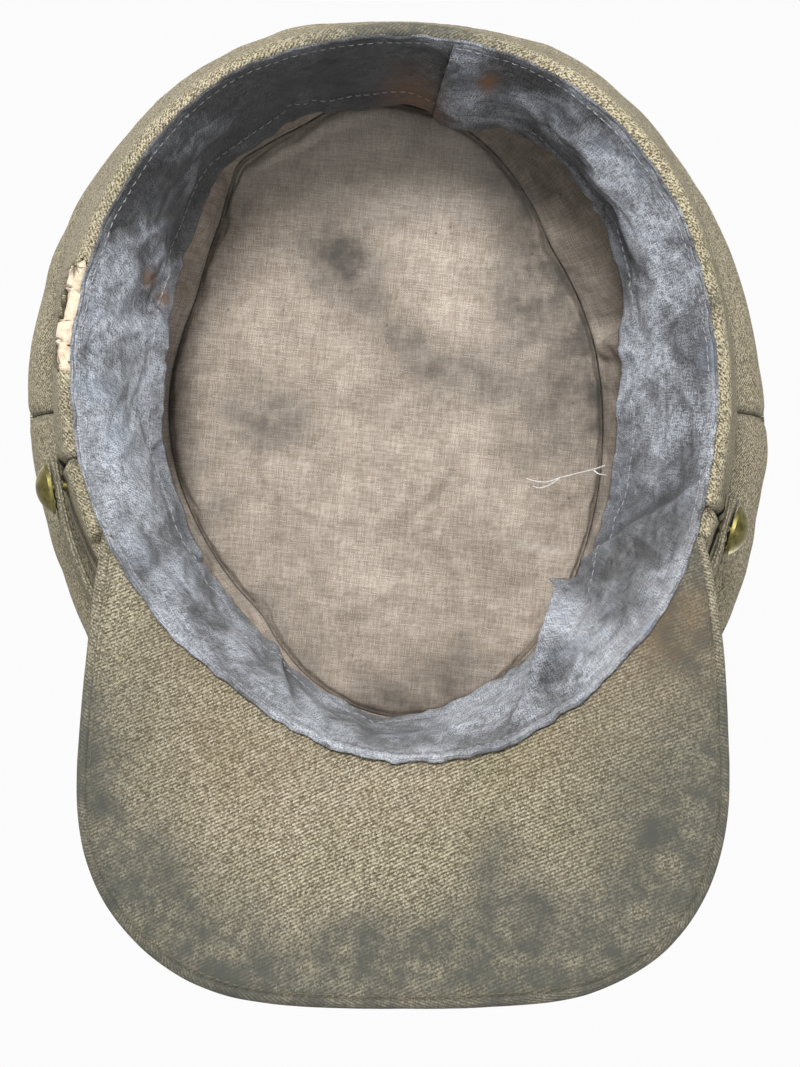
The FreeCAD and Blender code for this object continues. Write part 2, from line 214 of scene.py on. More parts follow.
def worn(points):
    """Moves points on or in the cap with its bends."""
    x, y, z = np.moveaxis(points, -1, 0)
    deg = head_deg(x, y)
    share = np.minimum(np.hypot(x / HEAD_A, y / HEAD_B), 1.0)
    up = smooth((z - 30.0) / 42.0)
    rim = RIM_BEND(deg)
    under_strap = bell((np.mod(deg, 360.0) - 236.0) / 38.0) * smooth((z - 2.0) / 9.0)
    rim = rim - np.maximum(rim + 0.5, 0.0) * np.minimum(1.3 * under_strap, 1.0)
    push = (rim * (1.0 - up) + CROWN_BEND(deg) * up) * share**2
    nx, ny = outward(deg)
    return stack(x + nx * push, y + ny * push, z)


# The sweatband by angle: how far its free edge and its middle crease lean in, in mm, and how
# pale it is: partly its own faded tone and partly painted light and shade, darkest across the
# back, which faces away from the light. Then how far the lining's edge stands out from its oval.

SWEAT_LEAN = around(
    {0: 17, 25: 15, 48: 6, 70: 3.5, 94: 4, 101: 10, 112: 6, 121: 4.5, 130: 5, 140: 7.3, 147: 9.5,
     154: 12.5, 163: 16, 180: 21, 205: 19, 222: 14, 240: 10, 258: 6, 276: 5, 300: 10, 322: 14,
     342: 16.5},
    blur=3.0,
)
SWEAT_CREASE = around(
    {0: 10, 25: 9, 48: 4.5, 70: 2.5, 94: 3, 101: 6, 112: 4, 120: 4.5, 126: 7.5, 132: 9, 140: 8.5,
     147: 8.5, 158: 9, 180: 12, 205: 11.5, 222: 8, 240: 6.5, 258: 4, 276: 3.5, 300: 6.5,
     322: 9, 342: 10},
    blur=3.0,
)
SWEAT_TONE_AND_LIGHT = around(
    {90: 0.05, 75: 0.0, 60: 0.05, 45: 0.1, 30: 0.35, 15: 0.6, 0: 0.6, 345: 0.55, 330: 0.55,
     310: 0.55, 280: 0.5, 260: 0.5, 240: 0.5, 225: 0.6, 205: 0.4, 195: 0.5, 180: 0.5, 160: 0.55,
     140: 0.5, 125: 0.45, 110: 0.4, 100: 0.4},
    blur=4.0,
)
LINING_BEND = around(
    {0: 0.5, 9: 0, 24: -3, 39: -0.5, 46: 3, 51: 6.5, 56: 4, 66: 1.5, 78: 2.5, 90: 0, 112: -4,
     143: -11, 163: -8, 185: -7, 205: -6, 230: -4, 270: -4, 299: -8, 317: -11.5, 334: -6, 350: -1},
    blur=2.5,
)

# Marks in plan: x, y, size, strength
PEAK_DIRT = ((-27, -131, 12, 0.75), (-27, -117, 6, 0.5), (7, -142, 9, 0.7), (-9, -138, 7, 0.4),
             (60, -127, 14, 0.5), (-64, -112, 20, 0.3), (38, -134, 8, 0.35), (-50, -142, 14, 0.5),
             (78, -80, 9, 0.3), (-81, -48, 7, 0.95), (-79, -62, 8, 0.8), (-84, -57, 12, 1.0),
             (-12, -142, 5, 0.5), (-22, -124, 4, 0.4), (15, -138, 5, 0.4), (-36, -133, 5, 0.4))
PEAK_BROWN = ((-72, -62, 15, 1.0), (40, -90, 22, 0.4), (-10, -84, 24, 0.4), (55, -62, 12, 0.5),
              (-45, -85, 16, 0.4))
# The lining's marks are stains, except those at its front and back edges, which are painted shade
# where the band's wall shades the lining.
LINING_DIRT_AND_SHADE = ((15, 48, 13, 1.0), (24, 58, 11, 0.5), (40, 0, 11, 1.0), (-12, 16, 10, 0.75),
               (-4, 24, 8, 0.4), (2, -93, 12, 0.8), (-18, -80, 12, 0.7), (34, -48, 13, 0.3),
               (5, 30, 10, 0.35), (-40, 40, 12, 0.2), (24, -72, 14, 0.3), (0, 101, 14, 0.2),
               (-30, 12, 8, 0.3))

# Marks on the sweatband: angle, share of its width, half sizes in both, strength
SWEAT_RUST = ((107.8, 0.36, 1.8, 0.13, 1.0), (24.3, 0.6, 1.6, 0.07, 0.9),
              (22.7, 0.85, 1.8, 0.08, 0.9), (94.0, 0.85, 6.0, 0.35, 0.8))
# Pale patches: partly faded cloth and partly painted highlights.
SWEAT_PALE_AND_HIGHLIGHT = ((8.0, 0.5, 16.0, 0.6, 0.25), (352.0, 0.5, 12.0, 0.6, 0.2),
              (13.0, 0.45, 5.0, 0.3, 0.6), (1.0, 0.5, 5.0, 0.3, 0.55), (22.0, 0.35, 4.0, 0.2, 0.4),
              (133.0, 0.3, 6.0, 0.25, 0.5), (146.0, 0.3, 6.0, 0.3, 0.5), (105.0, 0.75, 4.0, 0.3, 0.4),
              (228.0, 0.8, 5.0, 0.4, 0.6), (170.0, 0.5, 9.0, 0.4, 0.3))
# Dark patches: dirt, and painted shade across the back, from about 70 to 95 degrees.
SWEAT_DIRT_AND_SHADE = ((76.0, 0.5, 20.0, 0.7, 0.45), (40.0, 0.3, 6.0, 0.25, 0.2),
              (56.0, 0.6, 7.0, 0.3, 0.15), (73.0, 0.4, 7.0, 0.5, 0.2),
              (86.0, 0.5, 6.0, 0.5, 0.6), (28.0, 0.3, 3.5, 0.2, 0.5), (140.0, 0.75, 12.0, 0.12, 0.6),
              (8.0, 0.3, 2.5, 0.25, 0.45), (3.0, 0.85, 2.0, 0.1, 0.5), (345.0, 0.8, 8.0, 0.25, 0.35),
              (88.0, 0.5, 6.0, 0.6, 0.6), (217.0, 0.8, 2.5, 0.2, 0.9), (192.0, 0.1, 2.5, 0.12, 0.7),
              (222.0, 0.45, 4.0, 0.2, 0.35), (300.0, 0.75, 14.0, 0.2, 0.4))

# Mesh helpers


def new_object(name, data):
    thing = bpy.data.objects.new(name, data)
    bpy.context.scene.collection.objects.link(thing)
    return thing


def grid_object(name, points, uv, wrap=False, keep=None, **attributes):
    """A quad grid from an array of points in mm. wrap joins the last column to the first."""
    rows, columns = points.shape[:2]
    index = np.arange(rows * columns).reshape(rows, columns)
    right = np.roll(index, -1, axis=1)
    quads = np.stack([index[:-1], right[:-1], right[1:], index[1:]], axis=-1)
    uv_corners = np.stack([uv[:-1, :-1], uv[:-1, 1:], uv[1:, 1:], uv[1:, :-1]], axis=2)
    if not wrap:
        quads = quads[:, :-1]
    quads, uv_corners = quads.reshape(-1, 4), uv_corners.reshape(-1, 4, 2)
    if keep is not None:
        chosen = keep[quads].all(axis=1)
        quads, uv_corners = quads[chosen], uv_corners[chosen]
    mesh = bpy.data.meshes.new(name)
    mesh.from_pydata((points.reshape(-1, 3) * MM).tolist(), [], quads.tolist())
    layer = mesh.uv_layers.new(name="Cloth")
    layer.uv.foreach_set("vector", (uv_corners.reshape(-1) * MM).astype(np.float32))
    for key, values in attributes.items():
        attribute = mesh.attributes.new(key, "FLOAT", "POINT")
        values = np.broadcast_to(values, (rows, columns)).astype(np.float32)
        attribute.data.foreach_set("value", values.reshape(-1))
    mesh.polygons.foreach_set("use_smooth", [True] * len(mesh.polygons))
    return new_object(name, mesh)


def give_thickness(piece, thickness, side=-1.0):
    solid = piece.modifiers.new("cloth thickness", "SOLIDIFY")
    solid.thickness = thickness * MM
    solid.offset = side


def subdivide(piece, levels):
    sub = piece.modifiers.new("smooth", "SUBSURF")
    sub.levels = sub.render_levels = levels
    sub.boundary_smooth = "PRESERVE_CORNERS"


def strip_uv(points, wrap=False):
    """UV in mm along a strip: u along the columns, v along the rows."""
    closed = np.concatenate([points, points[:, :1]], axis=1) if wrap else points
    u, v = arc_lengths(closed, 1), arc_lengths(closed, 0)
    return np.stack(np.broadcast_arrays(u[None, :], v[:, None]), axis=-1)


def disc_points(count, edge):
    """Grid over a round shape, finer towards its edge(angle): x, y, share of the way out and
    angle of each point."""
    reach = 0.4 * math.pi
    side = np.sin(np.linspace(-reach, reach, count)) / math.sin(reach)
    u, v = np.meshgrid(side, side)
    x, y = u * np.sqrt(1.0 - v * v / 2.0), v * np.sqrt(1.0 - u * u / 2.0)
    deg = np.degrees(np.arctan2(y, x))
    share = np.hypot(x, y)
    ex, ey = edge(deg)
    return ex * share, ey * share, share, deg


def tube(path, radius, sides=6, taper=0.0):
    """Rings of points round a path, all in mm."""
    path = np.asarray(path, float)
    along = np.gradient(path, axis=0)
    along /= np.linalg.norm(along, axis=1, keepdims=True)
    helper = np.where(np.abs(along[:, 2:3]) > 0.9, [[1.0, 0.0, 0.0]], [[0.0, 0.0, 1.0]])
    a = np.cross(along, helper)
    a /= np.linalg.norm(a, axis=1, keepdims=True)
    b = np.cross(along, a)
    turn = np.linspace(0, 2 * math.pi, sides, endpoint=False)
    size = radius * (1.0 - taper * np.linspace(0, 1, len(path)))
    ring = a[:, None] * np.cos(turn)[None, :, None] + b[:, None] * np.sin(turn)[None, :, None]
    return path[:, None] + ring * size[:, None, None]


def join_tubes(name, tubes, material, body="cap"):
    """One object from several tubes, each an array of rings of points."""
    vertices, faces = [], []
    for rings in tubes:
        start, (count, sides) = len(vertices), rings.shape[:2]
        vertices.extend((rings.reshape(-1, 3) * MM).tolist())
        for i in range(count - 1):
            for j in range(sides):
                k = (j + 1) % sides
                low, high = start + i * sides, start + (i + 1) * sides
                faces.append((low + j, low + k, high + k, high + j))
        last = start + (count - 1) * sides
        faces.append(tuple(start + j for j in reversed(range(sides))))
        faces.append(tuple(last + j for j in range(sides)))
    mesh = bpy.data.meshes.new(name)
    mesh.from_pydata(vertices, [], faces)
    mesh.polygons.foreach_set("use_smooth", [True] * len(mesh.polygons))
    piece = new_object(name, mesh)
    piece.data.materials.append(material)
    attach(piece, body)
    return piece


def stitches(path, up, length=2.2, gap=0.9, radius=0.16, sink=0.1):
    """Threads laid along a path of points in mm, each a low arch with its ends in the cloth."""
    path, up = np.asarray(path, float), np.asarray(up, float)
    along = np.concatenate([[0.0], np.cumsum(np.linalg.norm(np.diff(path, axis=0), axis=1))])
    tubes, at = [], gap
    arch = np.linspace(0.0, 1.0, 6)
    while at + length < along[-1]:
        place = at + arch * length
        line = np.stack([np.interp(place, along, path[:, k]) for k in range(3)], axis=1)
        lift = np.stack([np.interp(place, along, up[:, k]) for k in range(3)], axis=1)
        height = np.sin(arch * math.pi) * (radius + sink) - sink
        tubes.append(tube(line + lift * height[:, None], radius))
        at += length + gap
    return tubes


def vertices(mesh):
    """A mesh's vertices as rows, in metres."""
    co = np.empty(len(mesh.vertices) * 3, np.float32)
    mesh.vertices.foreach_get("co", co)
    return co.reshape(-1, 3)


def grid_points(piece, shape):
    """The points in mm of a piece made as a grid of that shape."""
    return vertices(piece.data).reshape(*shape, 3).astype(float) / MM


def weld(piece):
    """Joins points that lie on each other, so that a rolled-up grid closes."""
    join = piece.modifiers.new("close", "WELD")
    join.merge_threshold = 1e-6


def finish_piece(piece, material, nodes=(), body="cap"):
    piece.data.materials.append(material)
    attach(piece, body)
    if nodes:
        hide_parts(*nodes)
    return piece


# Materials


class Shader:
    """A material's node tree, with short names for the nodes that it needs."""

    def __init__(self, name):
        self.material = bpy.data.materials.new(name)
        self.material.use_nodes = True
        self.nodes = self.material.node_tree.nodes
        self.links = self.material.node_tree.links
        self.bsdf = self.nodes["Principled BSDF"]

    def wire(self, value, socket):
        if isinstance(value, bpy.types.NodeSocket):
            self.links.new(value, socket)
        else:
            socket.default_value = value

    def math(self, operation, a, b=0.0, c=0.0):
        node = self.nodes.new("ShaderNodeMath")
        node.operation = operation
        for value, socket in zip((a, b, c), node.inputs):
            self.wire(value, socket)
        return node.outputs[0]

    def plus(self, a, b):
        return self.math("ADD", a, b)

    def minus(self, a, b):
        return self.math("SUBTRACT", a, b)

    def times(self, a, b):
        return self.math("MULTIPLY", a, b)

    def divide(self, a, b):
        return self.math("DIVIDE", a, b)

    def mix(self, share, a, b):
        """a where share is 0, b where it is 1."""
        return self.plus(self.times(a, self.minus(1.0, share)), self.times(b, share))

    def colours(self, share, a, b, blend="MIX"):
        node = self.nodes.new("ShaderNodeMix")
        node.data_type = "RGBA"
        node.blend_type = blend
        self.wire(share, node.inputs[0])
        self.wire(a, node.inputs[6])
        self.wire(b, node.inputs[7])
        return node.outputs[2]

    def attribute(self, name):
        node = self.nodes.new("ShaderNodeAttribute")
        node.attribute_name = name
        return node.outputs["Fac"]

    def place(self):
        return self.nodes.new("ShaderNodeTexCoord").outputs["Object"]

    def noise(self, size, detail=3.0, rough=0.55, seed=0.0):
        """Noise from 0 to 1 with lumps about size mm across."""
        node = self.nodes.new("ShaderNodeTexNoise")
        node.noise_dimensions = "4D"
        self.links.new(self.place(), node.inputs["Vector"])
        node.inputs["W"].default_value = seed
        node.inputs["Scale"].default_value = 1.0 / (size * MM)
        node.inputs["Detail"].default_value = detail
        node.inputs["Roughness"].default_value = rough
        return node.outputs["Fac"]

    def ramp(self, value, stops):
        node = self.nodes.new("ShaderNodeValToRGB")
        self.links.new(value, node.inputs[0])
        elements = node.color_ramp.elements
        while len(elements) < len(stops):
            elements.new(0.5)
        for element, (at, colour) in zip(elements, stops):
            element.position = at
            element.color = (*colour, 1.0)
        return node.outputs["Color"]

    def between(self, value, low, high):
        """0 below low, 1 above high, and smooth in between."""
        node = self.nodes.new("ShaderNodeMapRange")
        node.interpolation_type = "SMOOTHSTEP"
        self.wire(value, node.inputs["Value"])
        node.inputs["From Min"].default_value = low
        node.inputs["From Max"].default_value = high
        return node.outputs["Result"]

    def contour(self, size, seed):
        """0 along thin wandering lines about size mm apart, 1 away from them."""
        away = self.math("ABSOLUTE", self.minus(self.noise(size, 2.0, 0.5, seed), 0.5))
        return self.between(away, 0.0, 0.008)

    def shade(self, colour, mask, low, high=1.0):
        """The colour, times low where the mask is 0 and high where it is 1."""
        return self.colours(1.0, colour, self.mix(mask, low, high), "MULTIPLY")

    def patchy(self, name, noise, low, high, least):
        """A painted mark, broken up by noise but never weaker than its least share."""
        share = self.mix(self.between(noise, low, high), least, 1.0)
        return self.times(share, self.attribute(name))

    def surface(self, colour, rough, **others):
        """Sets the surface's colour, its roughness and other inputs by name."""
        self.links.new(colour, self.bsdf.inputs["Base Color"])
        self.wire(rough, self.bsdf.inputs["Roughness"])
        for name, value in others.items():
            self.bsdf.inputs[name.replace("_", " ")].default_value = value

    def bump(self, height, depth):
        node = self.nodes.new("ShaderNodeBump")
        node.inputs["Strength"].default_value = 1.0
        node.inputs["Distance"].default_value = depth * MM
        self.links.new(height, node.inputs["Height"])
        self.links.new(node.outputs[0], self.bsdf.inputs["Normal"])

    def weave(self, yarn, repeat, slub=1.0):
        """Yarns crossing as in plain weave (repeat 2) or twill (repeat 4): a random value for
        each float of yarn, or for slub times its length, and the height of the weave."""
        node = self.nodes.new("ShaderNodeUVMap")
        node.uv_map = "Cloth"
        split = self.nodes.new("ShaderNodeSeparateXYZ")
        self.links.new(node.outputs[0], split.inputs[0])
        wobble = self.times(self.minus(self.noise(9.0, 2.0), 0.5), 1.6)
        u = self.plus(self.divide(split.outputs[0], yarn * MM), wobble)
        v = self.plus(self.divide(split.outputs[1], yarn * MM), wobble)
        i, j = self.math("FLOOR", u), self.math("FLOOR", v)
        step = self.divide(self.plus(i, j), float(repeat))
        row = self.math("FLOOR", step)
        over = self.math("LESS_THAN", self.minus(step, row), 0.5)
        stretch = self.math("FLOOR", self.divide(row, slub)) if slub > 1.0 else row
        key = self.nodes.new("ShaderNodeCombineXYZ")
        self.links.new(self.mix(over, self.plus(stretch, 0.37), i), key.inputs[0])
        self.links.new(self.mix(over, j, stretch), key.inputs[1])
        random = self.nodes.new("ShaderNodeTexWhiteNoise")
        random.noise_dimensions = "3D"
        self.links.new(key.outputs[0], random.inputs["Vector"])
        across = self.mix(over, self.math("FRACT", v), self.math("FRACT", u))
        run = self.mix(over, self.plus(u, j), self.plus(v, i))
        share = self.minus(self.divide(run, float(repeat)), row)
        share = self.math("FRACT", self.times(share, 2.0))
        round_across = self.math("SINE", self.times(across, math.pi))
        round_along = self.math("SINE", self.times(share, math.pi))
        height = self.math("POWER", self.times(round_across, round_along), 0.5)
        if repeat > 2:
            diagonal = self.times(self.plus(u, v), 2.0 * math.pi / repeat)
            rib = self.math("MULTIPLY_ADD", self.math("SINE", diagonal), 0.5, 0.5)
            height = self.mix(0.55, height, rib)
        return random.outputs["Value"], height


def wool_material():
    s = Shader("wool twill")
    random, height = s.weave(0.3, 4)
    fibres = s.noise(0.33, 3.0, 0.7)
    melange = s.plus(s.times(random, 0.4), s.times(fibres, 0.6))
    yarn = s.ramp(melange, [(0.22, (0.1, 0.082, 0.05)), (0.42, (0.25, 0.21, 0.145)),
                            (0.58, (0.38, 0.33, 0.24)), (0.8, (0.66, 0.61, 0.5))])
    broad = s.noise(28.0, 4.0, 0.6, 1.0)
    colour = s.colours(s.between(broad, 0.35, 0.7), yarn, (0.8, 0.82, 0.76, 1.0), "MULTIPLY")
    # Painted shade in the hollows between the twill's yarns.
    colour = s.shade(colour, s.between(height, 0.2, 0.7), 0.22)
    # Yellowish light flecks where the wear attribute is high: rubbed wool, and on the band's rim a
    # painted highlight.
    worn_and_highlit = s.times(s.attribute("wear"), s.between(melange, 0.4, 0.65))
    colour = s.colours(worn_and_highlit, colour, (0.66, 0.58, 0.38, 1.0))
    # Darker where the soil attribute is high: dirt, and painted shade where the crown meets the band.
    dirt = s.patchy("soil", s.noise(7.0, 5.0, 0.65, 3.0), 0.25, 0.7, 0.5)
    colour = s.colours(dirt, colour, (0.07, 0.071, 0.061, 1.0))
    patches = s.between(s.noise(9.0, 4.0, 0.6, 4.0), 0.2, 0.65)
    brown = s.times(s.attribute("stain"), patches)
    colour = s.colours(s.times(brown, 0.65), colour, (0.15, 0.1, 0.058, 1.0))
    s.surface(colour, 0.95, Specular_IOR_Level=0.15, Sheen_Weight=0.06, Sheen_Roughness=0.5,
              Sheen_Tint=(0.85, 0.75, 0.5, 1.0))
    s.bump(s.plus(height, s.times(fibres, 0.6)), 0.25)
    return s.material


def sweatband_material():
    s = Shader("sweatband cotton")
    random, height = s.weave(0.36, 2, slub=2.0)
    yarn = s.ramp(random, [(0.0, (0.026, 0.026, 0.028)), (0.5, (0.075, 0.077, 0.081)),
                           (1.0, (0.17, 0.172, 0.18))])
    cloudy = s.math("MULTIPLY_ADD", s.noise(19.0, 3.0, 0.5, 9.0), 2.2, -0.42)
    # Pale blue-grey where the paleness attribute is high: faded cloth, and painted light where the
    # light falls and on the ridges.
    pale = s.plus(cloudy, s.attribute("pale"))
    light = s.colours(random, (0.17, 0.184, 0.212, 1.0), (0.78, 0.82, 0.89, 1.0))
    colour = s.colours(s.between(pale, 0.75, 1.6), yarn, light)
    patches = s.between(s.noise(20.0, 3.0, 0.5, 2.0), 0.5, 0.7)
    blue = s.times(patches, s.attribute("pale"))
    colour = s.colours(s.times(blue, 0.5), colour, (0.3, 0.36, 0.46, 1.0))
    dark = s.between(s.noise(13.0, 3.0, 0.5, 5.0), 0.5, 0.68)
    colour = s.colours(s.times(dark, 0.6), colour, (0.42, 0.41, 0.4, 1.0), "MULTIPLY")
    # Painted shade along thin wandering crease lines, which the bump also presses in.
    lines = s.contour(26.0, 12.0)
    colour = s.shade(colour, lines, 0.8)
    worn_and_highlit = s.times(s.attribute("wear"), s.between(s.noise(1.6), 0.3, 0.65))
    colour = s.colours(worn_and_highlit, colour, (0.42, 0.41, 0.4, 1.0))
    # Darker with the soil attribute: dirt, and painted shade in the creases, in the hem's groove and
    # across the back.
    dirt = s.patchy("soil", s.noise(6.0, 4.0, 0.6, 7.0), 0.25, 0.65, 0.35)
    colour = s.colours(dirt, colour, (0.035, 0.034, 0.036, 1.0))
    rust = s.times(s.attribute("stain"), s.between(s.noise(2.5, 4.0), 0.2, 0.5))
    colour = s.colours(rust, colour, (0.24, 0.115, 0.042, 1.0))
    # Painted shade in the hollows between the yarns.
    colour = s.shade(colour, s.between(height, 0.1, 0.7), 0.35)
    s.surface(colour, 0.8, Specular_IOR_Level=0.25, Sheen_Weight=0.15)
    relief = s.plus(height, s.times(s.noise(1.2, 4.0, 0.6), 0.7))
    s.bump(s.plus(relief, s.times(lines, 0.8)), 0.13)
    return s.material


def lining_material():
    s = Shader("lining cotton")
    random, height = s.weave(0.38, 2, slub=5.0)
    yarn = s.ramp(random, [(0.0, (0.33, 0.27, 0.215)), (0.5, (0.45, 0.38, 0.31)),
                           (1.0, (0.57, 0.5, 0.425))])
    mottle = s.between(s.noise(11.0, 6.0, 0.7, 11.0), 0.36, 0.62)
    yarn = s.shade(yarn, mottle, 0.84, 1.09)
    broad = s.between(s.noise(34.0, 4.0, 0.55, 2.0), 0.4, 0.68)
    colour = s.colours(s.times(broad, 0.5), yarn, (0.62, 0.6, 0.58, 1.0), "MULTIPLY")
    # Darker with the soil attribute: stains, and painted shade at the top's edge, along the fold and
    # in the pleat.
    dirt = s.patchy("soil", s.noise(9.0, 5.0, 0.6, 4.0), 0.25, 0.7, 0.35)
    colour = s.colours(dirt, colour, (0.085, 0.077, 0.068, 1.0))
    specks = s.between(s.noise(2.2, 2.0, 0.5, 6.0), 0.72, 0.78)
    colour = s.colours(s.times(specks, 0.6), colour, (0.07, 0.055, 0.04, 1.0))
    colour = s.colours(s.attribute("wear"), colour, (0.75, 0.7, 0.62, 1.0))
    # Painted shade in the hollows between the yarns, and a faint painted highlight on their tops.
    colour = s.shade(colour, s.between(height, 0.1, 0.7), 0.45, 1.06)
    s.surface(colour, 0.9, Specular_IOR_Level=0.2)
    s.bump(s.plus(height, s.times(s.noise(1.5, 4.0, 0.6), 0.6)), 0.12)
    return s.material


def card_material():
    s = Shader("pasteboard")
    fibres = s.noise(1.2, 6.0, 0.7, 1.0)
    colour = s.ramp(fibres, [(0.25, (0.4, 0.3, 0.21)), (0.55, (0.62, 0.52, 0.39)),
                             (0.8, (0.75, 0.67, 0.53))])
    dirt = s.between(s.noise(4.0, 4.0, 0.6, 8.0), 0.55, 0.75)
    colour = s.colours(s.times(dirt, 0.6), colour, (0.3, 0.17, 0.09, 1.0))
    s.surface(colour, 0.95)
    s.bump(fibres, 0.3)
    return s.material


def grained_material(name, grain, stops, rough, depth=0.0, **others):
    """A material whose colour and relief both follow one noise, given as Shader.noise takes it."""
    s = Shader(name)
    fibres = s.noise(*grain)
    s.surface(s.ramp(fibres, stops), rough, **others)
    if depth:
        s.bump(fibres, depth)
    return s.material


def thread_material(name, colour):
    light = tuple(min(1.0, c * 1.25) for c in colour)
    dark = tuple(c * 0.6 for c in colour)
    return grained_material(name, (0.5, 3.0, 0.6), [(0.3, dark), (0.7, light)], 0.85, 0.08)


def brass_material():
    s = Shader("dull brass")
    broad = s.noise(2.5, 4.0, 0.6, 1.0)
    colour = s.ramp(broad, [(0.3, (0.085, 0.074, 0.026)), (0.6, (0.2, 0.175, 0.06)),
                            (0.8, (0.34, 0.3, 0.12))])
    rough = s.math("MULTIPLY_ADD", s.noise(1.2, 4.0, 0.6, 3.0), 0.4, 0.32)
    s.surface(colour, rough, Metallic=1.0)
    s.bump(s.noise(0.8, 3.0, 0.6, 5.0), 0.03)
    return s.material


WOOL = wool_material()
SWEAT = sweatband_material()
LINING = lining_material()
CARD = card_material()
BRASS = brass_material()
STEEL = grained_material("dull steel wire", (1.5, 4.0, 0.6), [(0.3, (0.16, 0.12, 0.09)),
                         (0.7, (0.42, 0.41, 0.39))], 0.45, Metallic=1.0)
LEATHER = grained_material("washer leather", (0.7, 5.0, 0.6), [(0.3, (0.05, 0.025, 0.012)),
                           (0.7, (0.16, 0.085, 0.04))], 0.7, 0.1)
THREAD_WHITE = thread_material("white thread", (0.75, 0.73, 0.7))
THREAD_OLIVE = thread_material("olive thread", (0.13, 0.115, 0.07))
THREAD_GREY = thread_material("grey thread", (0.3, 0.3, 0.31))


# Band


def band_profile():
    """Outer face, rolled rim and turned-in edge, as (thickness, height) pairs."""
    radius = BAND_T / 2 + 0.1
    wall = np.linspace(BAND_H + 0.3, radius, 26)
    outer = np.stack([BAND_T + 0.15 + 0.3 * np.sin(wall / BAND_H * math.pi), wall], axis=1)
    turn = np.linspace(0, math.pi, 15)[1:-1]
    roll = np.stack([BAND_T / 2 + radius * np.cos(turn), radius - radius * np.sin(turn)], axis=1)
    up = np.linspace(radius, BAND_TURN_IN, 4)
    inner = np.stack([np.full(4, BAND_T / 2 - radius), up], axis=1)
    return np.concatenate([outer, roll, inner])


def over_peak(deg):
    """1 where the band stands on the peak, 0 elsewhere."""
    first, last = PEAK_CORNERS_DEG
    return smooth((deg - first) / 1.5 + 0.5) * smooth((last - deg) / 1.5 + 0.5)


def band_points(deg, t, h):
    """Point at an angle, a depth through the band and a height up it."""
    lift = PEAK_RAISES_BAND * over_peak(np.mod(deg, 360.0))
    h = lift + h * (BAND_H - lift) / BAND_H
    spread = BAND_SPREAD(deg) * np.clip(h / BAND_H, 0.0, 1.0) ** 1.2
    x, y = oval(deg, t + BAND_FLARE * h + spread)
    return stack(x, y, h)


def in_hole(deg, t, h, points):
    """Where the band's cloth has worn away at the rim."""
    ragged = 1.0 + 0.35 * lumps(points, 3.0, 4.0, 3)
    along = np.abs(deg - HOLE_DEG) / HOLE_HALF_DEG
    reach = np.where(t > BAND_T / 2, np.maximum(h, 0.0) / HOLE_H, 0.0)
    return (reach**2 + along**2.6 < ragged**2) & (t > 0.45)


def band_cloth(name, start, end, nodes):
    """One of the band's two cloths, worn through at the hole in the rim."""
    profile = band_profile()
    step, fine_step, near = 0.45, 0.15, 11.0
    deg = np.linspace(start, end, int((end - start) / step) + 1)
    if start < HOLE_DEG < end:
        fine = np.arange(HOLE_DEG - near, HOLE_DEG + near, fine_step)
        deg = np.unique(np.concatenate([deg, fine]))
    t, h = profile[:, :1], profile[:, 1:]
    points = band_points(deg[None, :], t, h)
    uv = strip_uv(points)
    seam = np.minimum(deg - start, end - deg)[None, :] * 1.6
    bulge = 0.35 * lumps(points, 18.0, 1.0) + 0.2 * lumps(points, 4.5, 2.0)
    bulge = bulge - 0.9 * bell(seam / 0.9) + 0.35 * bell((seam - 2.2) / 1.2)
    points = worn(pushed(points, bulge))
    keep = ~in_hole(deg[None, :], np.broadcast_to(t, bulge.shape), h, points)
    rim = bell((h - 1.0) / 3.5)
    hole_edge = bell((np.abs(deg - HOLE_DEG) - HOLE_HALF_DEG) / 2.0)[None, :] * bell(h / 9.0)
    # The rolled rim is lighter: rubbed wool, with a painted highlight that is strongest at the back
    # and on the wearer's right.
    wear = 0.2 + 0.22 * rim * (0.5 + 0.5 * smooth(points[..., 1] / 60.0)) + 0.3 * hole_edge
    wear = wear + 0.25 * rim * smooth(-points[..., 0] / 60.0)
    torn = bell((np.mod(deg, 360.0) - TORN_DEG) / 0.9)[None, :] * bell((h - 0.5) / 1.6)
    # The band is darker along its top edge, at the tear and the seams, and along the rim across the
    # back.
    dark_back = 1.2 * bell((np.mod(deg, 360.0) - 92.0) / 15.0)[None, :]
    soil = 0.12 + 0.3 * bell((h - BAND_H) / 5.0) + 0.7 * torn + 0.6 * bell(seam / 0.8)
    soil = soil + dark_back * bell(h / 7.0)
    piece = grid_object(name, points, uv, keep=keep.reshape(-1), wear=wear,
                        soil=np.clip(soil, 0, 1), stain=0.0)
    give_thickness(piece, WOOL_T, side=1.0)
    finish_piece(piece, WOOL, nodes)


